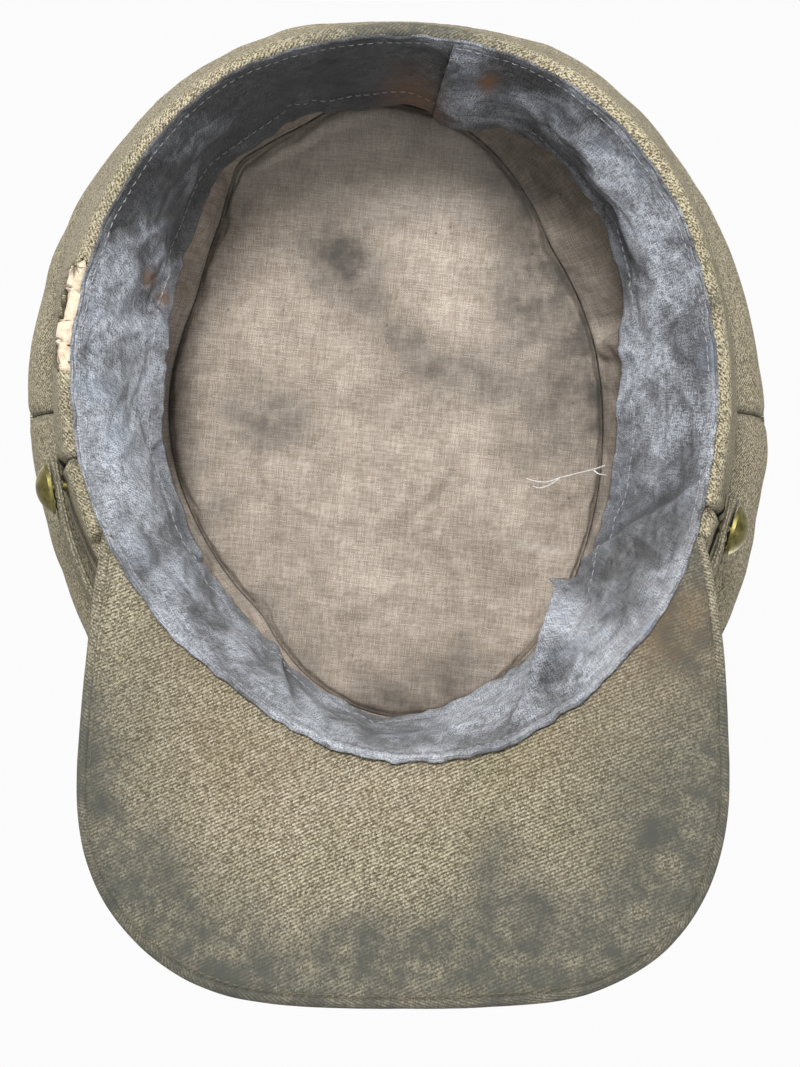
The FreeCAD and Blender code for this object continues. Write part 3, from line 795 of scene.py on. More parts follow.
def band_card():
    """The pasteboard in the band, one closed strip; swollen and cracked where it shows."""
    deg = np.concatenate([np.arange(0.0, 26.0, 0.15), np.arange(26.0, 360.0, 1.0)])[None, :]
    turn = np.linspace(0, 2 * math.pi, 49)[:-1, None]
    flat = np.sign(np.cos(turn)) * np.abs(np.cos(turn)) ** 0.25
    tall = np.sign(np.sin(turn)) * np.abs(np.sin(turn)) ** 0.55
    shown = smooth((HOLE_HALF_DEG + 1.2 - np.abs(deg - HOLE_DEG)) / 1.5)
    h = 20.9 + 19.6 * tall + 0.0 * deg
    swell = shown * bell((h - 1.0) / 9.0)
    t = BAND_T / 2 + (0.65 + 2.05 * swell) * flat + 0.25 * swell
    cracks = 0.0 * h
    for at, slant in CARD_CRACKS:
        wander = 0.35 * lumps(stack(0.0 * deg, h, t), 2.0, at)
        cracks = cracks + bell((deg - at - slant * (t - 2.0) * 0.25 - wander) / 0.13)
    block = sum(smooth((deg - at) / 0.3 + 0.5) for at, _ in CARD_CRACKS)
    lean = swell * (0.9 * np.sin(block * 2.3) + 0.3 * lumps(stack(deg, h, t), 3.0, 66.0))
    flaws = 0.22 * lumps(stack(deg * 1.6, h, t), 1.6, 6.0, 3) - 1.5 * cracks
    amount = flaws * np.minimum(swell * 1.5, 1.0)
    points = band_points(deg, t + lean + np.sign(flat) * amount, h - 0.4 * swell - 0.9 * amount)
    points = worn(points)
    points = np.concatenate([points, points[:1]])
    piece = grid_object("band_card", points, strip_uv(points, wrap=True), wrap=True)
    weld(piece)
    finish_piece(piece, CARD, ["band_stiffener"])


def frayed(name, places, material, count=16, length=3.0, spread=0.8):
    """Short broken fibres curling out of places on the cloth, each given as a point and the
    direction in which it sticks out."""
    rng = np.random.default_rng(7)
    tubes = []
    for place, out in places:
        for _ in range(count):
            heading = np.asarray(out) + rng.normal(0.0, spread, 3)
            heading /= np.linalg.norm(heading)
            curl = np.cross(heading, rng.normal(0.0, 1.0, 3)) * rng.uniform(0.2, 0.7)
            reach = length * rng.uniform(0.4, 1.0)
            along = np.linspace(0.0, 1.0, 7)[:, None]
            start = np.asarray(place) + rng.normal(0.0, 0.5, 3)
            path = start + reach * (heading * along + curl * along**2)
            tubes.append(tube(path, rng.uniform(0.05, 0.1), sides=5, taper=0.5))
    join_tubes(name, tubes, material)


def frayed_edges():
    """Fibres round the hole, at the tear, at the band's seams and at the peak's left end."""
    places = []
    for turn in np.radians(np.arange(0.0, 180.0, 9.0)):
        deg = HOLE_DEG + HOLE_HALF_DEG * math.cos(turn)
        h = max(HOLE_H * math.sin(turn), 0.3)
        point = worn(band_points(np.array(deg), BAND_T, np.array(h)))
        inward = [math.cos(turn) * math.sin(math.radians(deg)),
                  -math.cos(turn) * math.cos(math.radians(deg)), -0.7]
        places.append((point, inward))
    peak_end = PEAK_CORNERS_DEG[1]
    for deg, t in ((TORN_DEG, 0.5), (TORN_DEG + 0.8, 1.5), (BAND_SEAM_DEG["left"] - 0.4, 2.0),
                   (BAND_SEAM_DEG["right"] + 0.4, 2.0), (peak_end - 1.0, -0.4),
                   (peak_end + 0.5, 0.5)):
        point = worn(band_points(np.array(deg), t, np.array(0.0)))
        places.append((point, [0.0, 0.0, -0.6]))
    frayed("frayed_band_edges", places, THREAD_OLIVE)


# Crown


def top_z(y, drop=0.0):
    return TOP_Z - TOP_FALL * y - drop


def crown_quarter(name, start):
    """A quarter of the crown's wall, from the band up and out to the top's edge."""
    deg = np.linspace(start + 0.05, start + 89.95, 76)[None, :]
    rise = np.linspace(0.0, 1.0, 24)[:, None]
    flare = 1.0 - (1.0 - rise) ** 1.9
    x0, y0 = oval(deg, BAND_T + BAND_FLARE * BAND_H - 0.2 + BAND_SPREAD(deg))
    x1, y1 = oval(deg, -0.6, CROWN_A, CROWN_B)
    y = y0 + (y1 - y0) * flare
    x = x0 + (x1 - x0) * flare
    z = BAND_H + 0.2 + rise * (top_z(y, 4.2) - BAND_H)
    points = stack(x, y, z)
    uv = strip_uv(points)
    side = np.minimum(deg - start, start + 90.0 - deg) * 1.9
    fold = 1.1 * lumps(points * [1.0, 1.0, 0.35], 26.0, 3.0 + start) + 0.3 * lumps(points, 8.0, 5.0)
    fold = fold * smooth(rise * 4.0) * smooth((1.0 - rise) * 3.0)
    bulge = fold * smooth(side / 9.0) - 1.1 * bell(side / 1.1) + 0.35 * bell((side - 3.0) / 1.4)
    bulge = bulge + 0.6 * np.sin(rise * math.pi) - 0.5 * bell((1.0 - rise) / 0.05)
    points = worn(pushed(points, bulge))
    # Painted shade along the quarter's foot, where it meets the band; its seams are darker too.
    soil = 0.05 + 0.3 * bell(rise / 0.1) + 0.5 * bell(side / 0.9)
    wear = 0.32 + 0.15 * bell((1.0 - rise) / 0.1) + 0.0 * side
    piece = grid_object(name, points, uv, soil=soil, wear=wear, stain=0.0)
    subdivide(piece, 1)
    give_thickness(piece, QUARTER_T)
    finish_piece(piece, WOOL, [name.replace("cloth_", "crown_")])


def crown_edge(deg):
    return oval(deg, 0.0, CROWN_A, CROWN_B)


def top_drop(from_edge):
    """How far the crown's top has rolled down, at a distance in from its edge."""
    radius, most = 4.5, 3.6
    drop = radius - np.sqrt(np.maximum(radius**2 - np.maximum(radius - from_edge, 0.0) ** 2, 0.0))
    return np.minimum(drop, most)


def crown_top():
    """The crown's oval top, its edge rolled over the quarters."""
    x, y, share, _ = disc_points(121, crown_edge)
    from_edge = (1.0 - share) * CROWN_A
    points = stack(x, y, 0.0 * x)
    z = top_z(y, 0.6) - top_drop(from_edge)
    z = z + 0.8 * lumps(points, 45.0, 8.0) * smooth(from_edge / 20.0)
    z = z + 0.35 * lumps(points, 11.0, 9.0) * smooth(from_edge / 8.0)
    z = z - 0.25 * bell((from_edge - 6.0) / 1.2)
    points = worn(stack(x, y, z))
    out = np.linspace(0.001, 1.0, 600)  # from the middle to the edge, as a share
    steps = np.hypot(np.diff(out) * CROWN_A, np.diff(top_drop((1.0 - out) * CROWN_A)))
    rolled = np.concatenate([[0.0], np.cumsum(steps)]) / (out * CROWN_A)
    uv = plan_uv(points * np.interp(share, out[5:], rolled[5:])[..., None])
    soil = 0.05 + 0.3 * bell((from_edge - 3.0) / 3.0)
    wear = 0.3 + 0.1 * bell(from_edge / 3.5)
    piece = grid_object("cloth_top", points, uv, soil=soil, wear=wear, stain=0.0)
    subdivide(piece, 1)
    give_thickness(piece, QUARTER_T, side=1.0)
    finish_piece(piece, WOOL, ["crown_top_cloth"])


# Peak


def rim_distance(x, y):
    """How far points lie outside the head oval."""
    ring = np.stack(oval(np.linspace(180.0, 360.0, 361)), axis=-1)
    flat = np.stack([x.reshape(-1), y.reshape(-1)], axis=-1)
    out = np.empty(len(flat))
    for i in range(0, len(flat), 4000):
        block = flat[i : i + 4000, None] - ring[None]
        out[i : i + 4000] = np.sqrt(np.square(block).sum(-1)).min(-1)
    return out.reshape(x.shape)


def peak_lines(inset, count=260):
    """Ends of the peak's ruled lines: points on the rim, points on the outline moved inward by
    inset, and the inward normals there. Lines that would start past their end have no length."""
    t = np.linspace(0.0, math.pi, 721)
    c, s = np.cos(t), np.sin(t)
    depth = PEAK_SIDE_Y - PEAK_TIP_Y
    out_x = PEAK_HALF_W * np.sign(c) * np.abs(c) ** (2 / PEAK_POWER)
    out_y = PEAK_SIDE_Y - depth * np.abs(s) ** (2 / PEAK_POWER)
    _, corner_y = oval(PEAK_CORNERS_DEG[1], RIM_GAP)
    sides = np.linspace(0.0, 1.0, 40)[:-1]
    side_x = PEAK_CORNER_W + (PEAK_HALF_W - PEAK_CORNER_W) * sides
    side_y = corner_y + (PEAK_SIDE_Y - corner_y) * sides
    line_x = np.concatenate([side_x, out_x, -side_x[::-1]])
    line_y = np.concatenate([side_y, out_y, side_y[::-1]])
    along = np.concatenate([[0], np.cumsum(np.hypot(np.diff(line_x), np.diff(line_y)))])
    share = np.linspace(0.0, along[-1], count)
    bx, by = np.interp(share, along, line_x), np.interp(share, along, line_y)
    tx, ty = np.gradient(bx), np.gradient(by)
    nx, ny = ty / np.hypot(tx, ty), -tx / np.hypot(tx, ty)
    flip = np.where(nx * bx + ny * (by - PEAK_SIDE_Y) > 0, -1.0, 1.0)
    nx, ny = nx * flip, ny * flip
    inset = inset - PEAK_BEND(np.degrees(np.arctan2(by, bx)))
    cx, cy = bx + nx * inset, by + ny * inset
    deg = np.mod(head_deg(cx, cy), 360.0)
    outside = np.hypot(cx / HEAD_A, cy / HEAD_B) > 1.004
    first, last = np.flatnonzero(outside)[[0, -1]]
    rim_deg = deg.copy()
    rim_deg[first : last + 1] = np.linspace(deg[first], deg[last], last - first + 1)
    rx, ry = oval(rim_deg, RIM_GAP)
    rx, ry = np.where(outside, rx, cx), np.where(outside, ry, cy)
    return rx, ry, cx, cy, nx, ny


def peak_surface(x, y, above):
    """Point over the peak's sloping underside, with the bends that wear has left in it."""
    z = -PEAK_SLOPE * rim_distance(x, y)
    out = smooth((-36.0 - y) / 50.0)
    flat = stack(x, y, 0.0 * x)
    z = z + out * (1.3 * lumps(flat, 60.0, 11.0) + 0.5 * lumps(flat, 17.0, 12.0))
    z = z + out * (1.0 - 2.2 * smooth((np.abs(x) - 55.0) / 30.0)) * 0.5
    held = bell(rim_distance(x, y) / 9.0)
    deg = head_deg(x, y)
    push = RIM_BEND(deg) * held
    nx, ny = outward(deg)
    swing = out * (-1.5 - 0.008 * x) * (1.0 - held)
    return stack(x + nx * push + swing, y + ny * push, z + above)


def marks(points, places):
    """Soft round marks: each has its middle in plan, its size and its strength."""
    total = np.zeros(points.shape[:-1])
    for x, y, size, strength in places:
        total = total + strength * bell(np.hypot(points[..., 0] - x, points[..., 1] - y) / size)
    return np.clip(total, 0.0, 1.0)


def plan_uv(points):
    """UV from above, turned so that the twill's ribs lie as they do in the peak."""
    turn = math.radians(23.0)
    x, y = points[..., 0], points[..., 1]
    return np.stack([x * math.cos(turn) + y * math.sin(turn),
                     y * math.cos(turn) - x * math.sin(turn)], axis=-1)


def peak_under_cloth():
    """The cloth on the peak's underside, which carries most of the dirt in the photo."""
    rx, ry, ex, ey, _, _ = peak_lines(PEAK_EDGE_R + 0.15)
    share = np.linspace(0.0, 1.0, 60)[:, None]
    x, y = rx + (ex - rx) * share, ry + (ey - ry) * share
    from_edge = np.hypot(ex - x, ey - y)
    groove = 0.8 * bell(from_edge / 0.8)
    flat = stack(x, y, 0.0 * x)
    dents = 0.2 * lumps(flat, 6.0, 14.0) * smooth(from_edge / 6.0)
    points = peak_surface(x, y, -0.1 + groove + dents)
    edge_dirt = 1.2 * bell(from_edge / 16.0) * smooth((-60.0 - y) / 60.0)
    side_dirt = 0.25 * smooth((x - 48.0) / 25.0) + 0.5 * smooth((-28.0 - x) / 45.0)
    soil = np.clip(marks(points, PEAK_DIRT) + edge_dirt + side_dirt, 0.0, 1.0)
    wear = 0.2 * bell((from_edge - 9.0) / 8.0) + 0.1
    piece = grid_object("cloth_peak_under", points, plan_uv(points), soil=soil,
                        stain=marks(points, PEAK_BROWN), wear=wear)
    weld(piece)
    give_thickness(piece, WOOL_T, side=1.0)
    finish_piece(piece, WOOL, ["peak_under_cloth"])


def peak_upper_cloth():
    """The cloth over the peak, rolled round its edge and tucked under."""
    rx, ry, cx, cy, nx, ny = peak_lines(PEAK_EDGE_R)
    share = np.linspace(0.0, 1.0, 44)[:, None]
    x, y = rx + (cx - rx) * share, ry + (cy - ry) * share
    from_edge = np.hypot(cx - x, cy - y)
    top = peak_surface(x, y, PEAK_T - 0.35 * bell((from_edge - 1.0) / 0.7))
    turn = np.linspace(math.pi / 2, -math.pi / 2, 15)[1:, None]
    out = PEAK_EDGE_R * np.cos(turn)
    middle = peak_surface(cx, cy, PEAK_EDGE_R)
    roll = peak_surface(cx - nx * out, cy - ny * out, 0.0)
    roll[..., 2] = middle[..., 2] + (PEAK_EDGE_R + 0.1) * np.sin(turn)
    lip = np.linspace(0.15, 0.9, 3)[:, None]
    under = peak_surface(cx + nx * lip, cy + ny * lip, -0.1 + 0.9 * (lip / 0.9) ** 2)
    points = np.concatenate([top, roll, under])
    flat = points * [1.0, 1.0, 0.0]
    points[..., 2] += 0.12 * lumps(flat, 5.0, 21.0)
    past_top = np.ones((len(points) - len(top), points.shape[1]))
    edge = np.concatenate([bell(from_edge / 3.0), past_top])
    dark = smooth((-50.0 - points[..., 1]) / 40.0)
    soil = np.clip(edge * (0.25 + 0.6 * dark) + 0.15, 0.0, 1.0)
    past = np.maximum(arc_lengths(points, 0) - arc_lengths(top, 0)[-1], 0.0)[:, None]
    laid = np.concatenate([top, top[-1:] * past_top[..., None]])
    laid = laid - stack(nx * past, ny * past, 0.0)
    piece = grid_object("cloth_peak_upper", points, plan_uv(laid), soil=soil, stain=0.0,
                        wear=0.25 * edge * (1.0 - 0.5 * dark))
    weld(piece)
    give_thickness(piece, PEAK_UPPER_T)
    finish_piece(piece, WOOL, ["peak_upper_cloth"])


def peak_card():
    rx, ry, ex, ey, _, _ = peak_lines(PEAK_EDGE_R - 0.3)
    share = np.linspace(0.0, 1.0, 30)[:, None]
    points = peak_surface(rx + (ex - rx) * share, ry + (ey - ry) * share, 1.4)
    piece = grid_object("peak_card", points, plan_uv(points))
    weld(piece)
    give_thickness(piece, 1.5, side=1.0)
    finish_piece(piece, CARD, ["peak_board"])


def peak_stitching():
    """Topstitching along the peak's edge, on both sides."""
    tubes = []
    for inset, above, side in ((1.5, -0.25, -1.0), (1.0, PEAK_T - 0.3, 1.0)):
        _, _, x, y, _, _ = peak_lines(PEAK_EDGE_R + inset)
        path = peak_surface(x, y, above)[8:-8]
        up = np.broadcast_to([0.0, 0.0, side], path.shape)
        tubes.extend(stitches(path, up, length=1.5, gap=0.8, radius=0.14))
    join_tubes("peak_edge_stitching", tubes, THREAD_OLIVE)


# Chin strap


def strap_path(deg, extra, across):
    """The strap's surface, at a depth through it and a height across its width."""
    (lx, ly, lz), (px, py, _) = STRAP_PIVOTS
    slope = (ly - py) / (lx - px)
    front_y = oval(270.0, BAND_T)[1]
    z = lz + 0.0 * deg * across
    for _ in range(14):
        x, y = oval(deg, BAND_T + BAND_FLARE * z)
        forward = np.clip((py + slope * (x - px) - y) / (py - slope * px - front_y), 0.0, 1.0)
        bow = np.sin(forward * math.pi / 2) ** 0.8
        gap = STRAP_GAP_END + (STRAP_GAP_FRONT - STRAP_GAP_END) * bow
        x, y = oval(deg, BAND_T + BAND_FLARE * z + gap + extra)
        z = lz + across + (y - py - slope * (x - px)) * STRAP_DIP
    return stack(x, y, z)


def chin_strap():
    """The strap between the two buttons, with rounded ends and two rows of stitches a side."""
    pivot_deg = [head_deg(x, y) % 360.0 for x, y, _ in STRAP_PIVOTS]
    tail_deg = math.degrees(STRAP_TAIL / STRAP_RADIUS)
    start, end = pivot_deg[1] - tail_deg, pivot_deg[0] + tail_deg
    deg = np.linspace(start, end, 300)[None, :]
    along = (deg - start) * math.radians(STRAP_RADIUS)
    left = np.minimum(along, along[:, -1:] - along)
    half_w = STRAP_W / 2
    short = np.maximum(half_w - left, 0.0) / half_w
    half = half_w * np.sqrt(np.clip(1.0 - np.square(short), 0.004, 1.0))
    turn = np.linspace(0.0, 2 * math.pi, 37)[:-1, None]
    wide = np.sign(np.cos(turn)) * np.abs(np.cos(turn)) ** 0.6
    thick = np.sign(np.sin(turn)) * np.abs(np.sin(turn)) ** 0.55
    ridge = 0.5 + 0.5 * np.abs(np.sin(wide * math.pi * 0.95)) ** 0.8
    depth = STRAP_T / 2 + (STRAP_T / 2) * thick * ridge
    slot = bell(thick / 0.3)
    across = wide * half * math.cos(math.atan(BAND_FLARE)) * (1.0 - 0.14 * slot)
    points = strap_path(deg, depth * np.minimum(1.0, half / 2.0), across)
    points = points + 0.12 * lumps(points, 5.0, 31.0)[..., None]
    closed = np.concatenate([points, points[:1]])
    wide, slot = np.concatenate([wide, wide[:1]]), np.concatenate([slot, slot[:1]])
    edge = bell((1.0 - np.abs(wide)) / 0.25) + 0.0 * deg
    groove = bell(wide / 0.22) + 0.0 * deg
    # The strap is darker along the groove down its middle and along its narrow edges.
    piece = grid_object("cloth_chin_strap", closed, strip_uv(closed), stain=0.0,
                        soil=np.clip(0.4 + 0.4 * groove + 0.6 * slot, 0.0, 1.0),
                        wear=0.6 * edge * (1.0 - slot))
    weld(piece)
    finish_piece(piece, WOOL, ["chin_strap_inner_cloth", "chin_strap_outer_cloth"],
                 "chin_strap")
    tubes = []
    seam_deg = np.linspace(start + 4.5, end - 4.5, 260)
    from_middle = 5.6
    for high in (-from_middle, from_middle):
        for depth_at, side in ((STRAP_T * 0.92, 1.0), (STRAP_T * 0.08, -1.0)):
            path = strap_path(seam_deg, depth_at, high + 0.0 * seam_deg)
            out = strap_path(seam_deg, depth_at + 1.0, high + 0.0 * seam_deg) - path
            out = out / np.linalg.norm(out, axis=1, keepdims=True) * side
            tubes.extend(stitches(path, out, length=2.0, gap=0.9, radius=0.17))
    join_tubes("chin_strap_stitching", tubes, THREAD_OLIVE, "chin_strap")


# Sweatband: a strip from its visible end, once round and under itself. Its angle runs past 360.


def sweat_profile(deg, v):
    """Offset and height of the sweatband at a share v of its width: in from the rim to a
    crease, then down to the free edge."""
    lean, crease = SWEAT_LEAN(deg), SWEAT_CREASE(deg)
    half = SWEAT_W / 2
    up = np.sqrt(half**2 - crease**2)
    end = up + np.sqrt(half**2 - (lean - crease) ** 2)
    low = np.clip(2.0 * v, 0.0, 1.0)
    high = np.clip(2.0 * v - 1.0, 0.0, 1.0)
    return -(crease * low + (lean - crease) * high), up * low + (end - up) * high


def sweat_points(deg, v):
    """Point on the sweatband, with its crease rounded and its two ends lapped."""
    offset, z = 0.0, 0.0
    steps = (-0.1, -0.05, 0.0, 0.05, 0.1)
    for step in steps:
        bent = np.clip(v + step * np.minimum(1.0, 6 * np.minimum(v, 1 - v)), 0.0, 1.0)
        o, h = sweat_profile(deg, bent)
        offset, z = offset + o / len(steps), z + h / len(steps)
    over = smooth((deg - 444.0) / 8.0) - bell((np.minimum(deg, 360.0) - 99.0) / 12.0)
    offset = offset - 0.15 + 0.9 * over * smooth(v * 5.0)
    x, y = oval(deg, offset)
    return stack(x, y, z - 0.3)


def strip_marks(deg, v, places):
    """Soft marks on the sweatband: each has its angle, its share of the width, its half sizes
    in both and its strength."""
    total = 0.0 * deg * v
    for at, high, wide, tall, strength in places:
        along = np.mod(deg - at + 180.0, 360.0) - 180.0
        apart = np.hypot(along / wide, (v - high) / tall)
        total = total + strength * bell(apart)
    return np.clip(total, 0.0, 1.0)


def tuck_line(v):
    """Angle of the edge of the tuck at the right of the peak, which slants across the band."""
    return 192.0 + 21.0 * v


def sweat_folds(deg, v):
    """How far the sweatband's folds stand in from its smooth shape: one long slanting fold at
    the right of the peak, and another beside it that runs to the rim."""
    turn = np.mod(deg, 360.0)
    low = 1.0 - v
    flap_edge = 222.0 + 33.0 * low
    width = 4.5 + 11.0 * low
    rise = smooth((turn - flap_edge + width) / width) * smooth((flap_edge - turn) / 0.9 + 0.5)
    flap = 10.0 * rise * smooth(v * 1.2)
    tuck_edge = tuck_line(v)
    tuck = 2.4 * smooth((tuck_edge + 11.0 - turn) / 11.0) * smooth((turn - tuck_edge) / 0.7 + 0.5)
    tuck = tuck * smooth(v * 2.5)
    front = 1.6 * bell((turn - 291.0 - 10.0 * v) / 2.5) * smooth(v * 2.0)
    return flap + tuck + front


def sweatband():
    """The cotton band with its hem, folds, puckers and marks, ready to be crumpled."""
    rows, columns = 34, 560
    v = np.linspace(0.0, 1.0, rows)[:, None] ** 1.25
    share = np.linspace(0.0, 1.0, columns)[None, :]
    start = SWEAT_START_DEG + 1.2 - 2.4 * v
    deg = start + (SWEAT_START_DEG + 360.0 + SWEAT_LAP_DEG - start) * share
    turn = np.mod(deg, 360.0)
    ragged = bell((turn - 262.0) / 30.0)
    rim = stack(*oval(deg[:1]), 0.0)
    hem_width = (0.8 + 0.7 * lumps(rim, 6.5, 43.0, 3)) * (0.7 + 1.1 * ragged[:1])
    hem_share = hem_width / SWEAT_W
    points = sweat_points(deg, np.clip((v - hem_share) / (1.0 - hem_share), 0.0, 1.0))
    out = np.maximum(hem_share - v, 0.0) * SWEAT_W
    ox, oy = outward(deg)
    hem = bell(v / 0.06)
    points = points + stack(ox * out, oy * out, -0.35 * hem - PEAK_SLOPE * out * over_peak(turn))
    folded = pushed(points, sweat_folds(deg, v), outward=False)
    uv = strip_uv(points)
    plain, longer = (np.linalg.norm(np.diff(p, axis=1), axis=-1) for p in (points, folded))
    uv[:, 1:, 0] += np.cumsum(longer - plain, axis=1)
    free = smooth(v * 3.0)
    bulge = 1.6 * lumps(points, 26.0, 41.0) * free + 0.3 * lumps(points, 9.0, 42.0) * free
    bulge = bulge + sweat_folds(deg, v) + 0.35 * smooth((v - 0.8) / 0.02)
    hills = lumps(stack(uv[..., 0] / 2.6, uv[..., 1], 0.0), 14.0, 44.0)
    crease = bell(hills / 0.035) * smooth(v * 6.0)
    groove = bell((v - 0.085 - 0.02 * lumps(rim, 9.0, 46.0)) / 0.018) * ragged
    bulge = bulge + 0.8 * hills * free - 0.4 * crease + 0.5 * hem * ragged - 0.5 * groove
    points = worn(pushed(points, bulge, outward=False))
    # The tone by angle is partly painted light and shade; where it is low, the band also gets more
    # painted shade.
    tone_and_light = SWEAT_TONE_AND_LIGHT(turn)
    # Painted shade in the creases and in the hem's groove, darker over and beside the tuck, and
    # darker where the tone is low; all of it joins the dirt marks in one channel.
    dark = strip_marks(deg, v, SWEAT_DIRT_AND_SHADE) + 0.25 * (1.0 - tone_and_light) + 0.25 * crease + 0.6 * groove
    by_tuck = smooth((turn - 185.0) / 8.0) * smooth((226.0 - turn) / 12.0)
    dark = dark + 0.5 * by_tuck * smooth(v * 4.0)
    lap = smooth((deg - 440.0) / 6.0)
    rust = strip_marks(deg, v, SWEAT_RUST)
    pale = np.clip(tone_and_light * (1.0 - 0.6 * lap) + strip_marks(deg, v, SWEAT_PALE_AND_HIGHLIGHT), 0.0, 1.0)
    wear = 0.25 * bell(v / 0.025) + 0.35 * ragged * bell(v / 0.3) + 0.3 * bell((1.0 - v) / 0.02)
    wear = wear + 0.4 * smooth((turn - tuck_line(v)) / 1.5) * smooth((236.0 - turn) / 8.0)
    piece = grid_object("cloth_sweatband", points, uv, soil=np.clip(dark, 0, 0.85), stain=rust,
                        wear=np.clip(wear, 0, 1), pale=pale)
    finish_piece(piece, SWEAT, ["sweatband"])
    return piece, v + 0.0 * deg


def paint_shade_by_relief(piece, shape, key, gain):
    """Paints light on a cloth's ridges and shade in its creases, through the given attribute."""
    points = grid_points(piece, shape)
    turned = facing(points, outward=False)
    relief = 0.0
    for reach in (2, 4):
        rows = np.clip(np.arange(shape[0])[:, None] + [-reach, reach], 0, shape[0] - 1)
        columns = np.clip(np.arange(shape[1])[:, None] + [-reach, reach], 0, shape[1] - 1)
        near = points[rows].sum(axis=1) + points[:, columns].sum(axis=2)
        relief = relief + ((points - near / 4.0) * turned).sum(axis=-1)
    values = np.empty(shape[0] * shape[1], np.float32)
    data = piece.data.attributes[key].data
    data.foreach_get("value", values)
    changed = np.clip(values + gain * np.tanh(relief.reshape(-1) * 1.2), 0.0, 1.0)
    data.foreach_set("value", changed.astype(np.float32))


def rolled_edge(piece, shape):
    """The sweatband's sewn edge, turned under and so about twice as thick."""
    path, _ = row_path(piece, shape, 0.0)
    rings = tube(path + [0.0, 0.0, -0.15], 0.5, sides=9)
    rings = np.concatenate([rings, rings[:, :1]], axis=1).transpose(1, 0, 2)
    rings = rings + 0.14 * lumps(rings, 2.5, 47.0)[..., None]
    turn = np.mod(head_deg(rings[..., 0], rings[..., 1]), 360.0)
    spots = lumps(rings, 4.0, 48.0)
    # The hem follows the sweatband's tone by angle, with its painted light and shade.
    hem = grid_object("sweatband_hem", rings, strip_uv(rings), stain=0.0,
                      soil=np.clip(0.55 - 0.5 * SWEAT_TONE_AND_LIGHT(turn) + 0.5 * spots, 0.0, 0.9),
                      wear=0.3 * bell((turn - 262.0) / 40.0) + 0.1, pale=0.8 * SWEAT_TONE_AND_LIGHT(turn))
    weld(hem)
    finish_piece(hem, SWEAT)


def row_path(piece, shape, share):
    """Points and inward normals along the sweatband at a share of its rows."""
    points = grid_points(piece, shape)
    turned = facing(points, outward=False)
    at = share * (shape[0] - 1)
    row, part = int(at), at - int(at)
    path = points[row] * (1.0 - part) + points[row + 1] * part
    return path, turned[row]


# Lining


def lining_edge(deg):
    return oval(deg, LINING_BEND(deg), LINING_A, LINING_B)


def lining_top():
    """The oval of cotton under the crown's top, with its stains."""
    x, y, share, _ = disc_points(101, lining_edge)
    points = stack(x, y, top_z(y, LINING_DROP))
    dents = 1.1 * lumps(points, 38.0, 51.0) + 0.4 * lumps(points, 12.0, 52.0)
    from_edge = (1.0 - share) * LINING_A
    turned_down = 1.6 * bell(from_edge / 1.6) - 0.5 * bell((from_edge - 3.5) / 1.8)
    points[..., 2] += dents * smooth((1.0 - share) * 8.0) - 0.9 + turned_down
    uv = np.stack([points[..., 0] * 0.995 + points[..., 1] * 0.1,
                   points[..., 1] * 0.995 - points[..., 0] * 0.1], axis=-1)
    arc = 0.3 * bell((np.hypot(x - 14.0, (y + 3.0) * 1.1) - 34.0) / 1.5) * smooth((-5.0 - y) / 12.0)
    # Darker towards both sides, partly stains and partly painted shade near the walls, and painted
    # shade in a band all round the edge.
    side_dirt = 0.75 * smooth((-14.0 - x) / 30.0) * smooth((y + 30.0) / 40.0)
    side_dirt = side_dirt + 0.3 * smooth((x - 40.0) / 20.0)
    side_dirt = side_dirt + 0.35 * bell(from_edge / 7.0)
    soil = np.clip(marks(points, LINING_DIRT_AND_SHADE) + arc + side_dirt, 0.0, 1.0)
    scratch = 0.5 * bell((y + 32.5 - 0.18 * x) / 1.1) * bell((x + 46.0) / 9.0)
    # The top is also lighter towards its back.
    piece = grid_object("cloth_lining_top", points, uv, soil=soil,
                        wear=scratch + 0.22 * smooth((y - 55.0) / 30.0))
    finish_piece(piece, LINING, ["lining_top"])
    return piece, share


def lining_side(name, start):
    """Half of the lining's wall, from the band up to the lining's top, with its pleat."""
    deg = np.linspace(start, start + 180.0, 180)[None, :]
    share = np.linspace(0.0, 1.0, 24)[:, None]
    x0, y0 = oval(deg, 9.0)
    x1, y1 = lining_edge(deg)
    y = y0 + (y1 - y0) * share
    x = x0 + (x1 - x0) * share
    lift = smooth(share * 1.05) * 0.55 + share * 0.45
    z = LINING_LOW_Z + lift * (top_z(y, LINING_DROP + 0.4) - LINING_LOW_Z)
    points = stack(x, y, z)
    uv = strip_uv(points)
    turn = np.mod(deg, 360.0)
    free = np.sin(share * math.pi)
    dents = 1.4 * lumps(points * [1.0, 1.0, 0.5], 20.0, 61.0) * free
    pleat = 7.0 * smooth((turn - 163.0) / 1.6) * smooth((196.0 - turn) / 14.0) * free
    notch = -2.5 * bell((turn - 161.0) / 1.6) * free
    points = pushed(points, dents + pleat + notch, outward=False)
    # Painted shade along the fold at the top, where the side meets the top, and in the pleat's notch;
    # the wearer's right half is darker, partly dirt and partly painted shade.
    soil = 0.15 + 0.25 * smooth((turn - 90.0) / 40.0) * smooth((250.0 - turn) / 60.0)
    soil = soil + 0.25 * lumps(points, 25.0, 62.0) + 0.5 * bell((turn - 161.5) / 1.2) * free
    soil = np.clip(soil + 0.35 * bell((1.0 - share) / 0.05), 0.0, 1.0)
    piece = grid_object(name, points, uv, soil=soil, wear=0.0)
    finish_piece(piece, LINING, [name.replace("cloth_", "")])
    return piece, share + 0.0 * deg


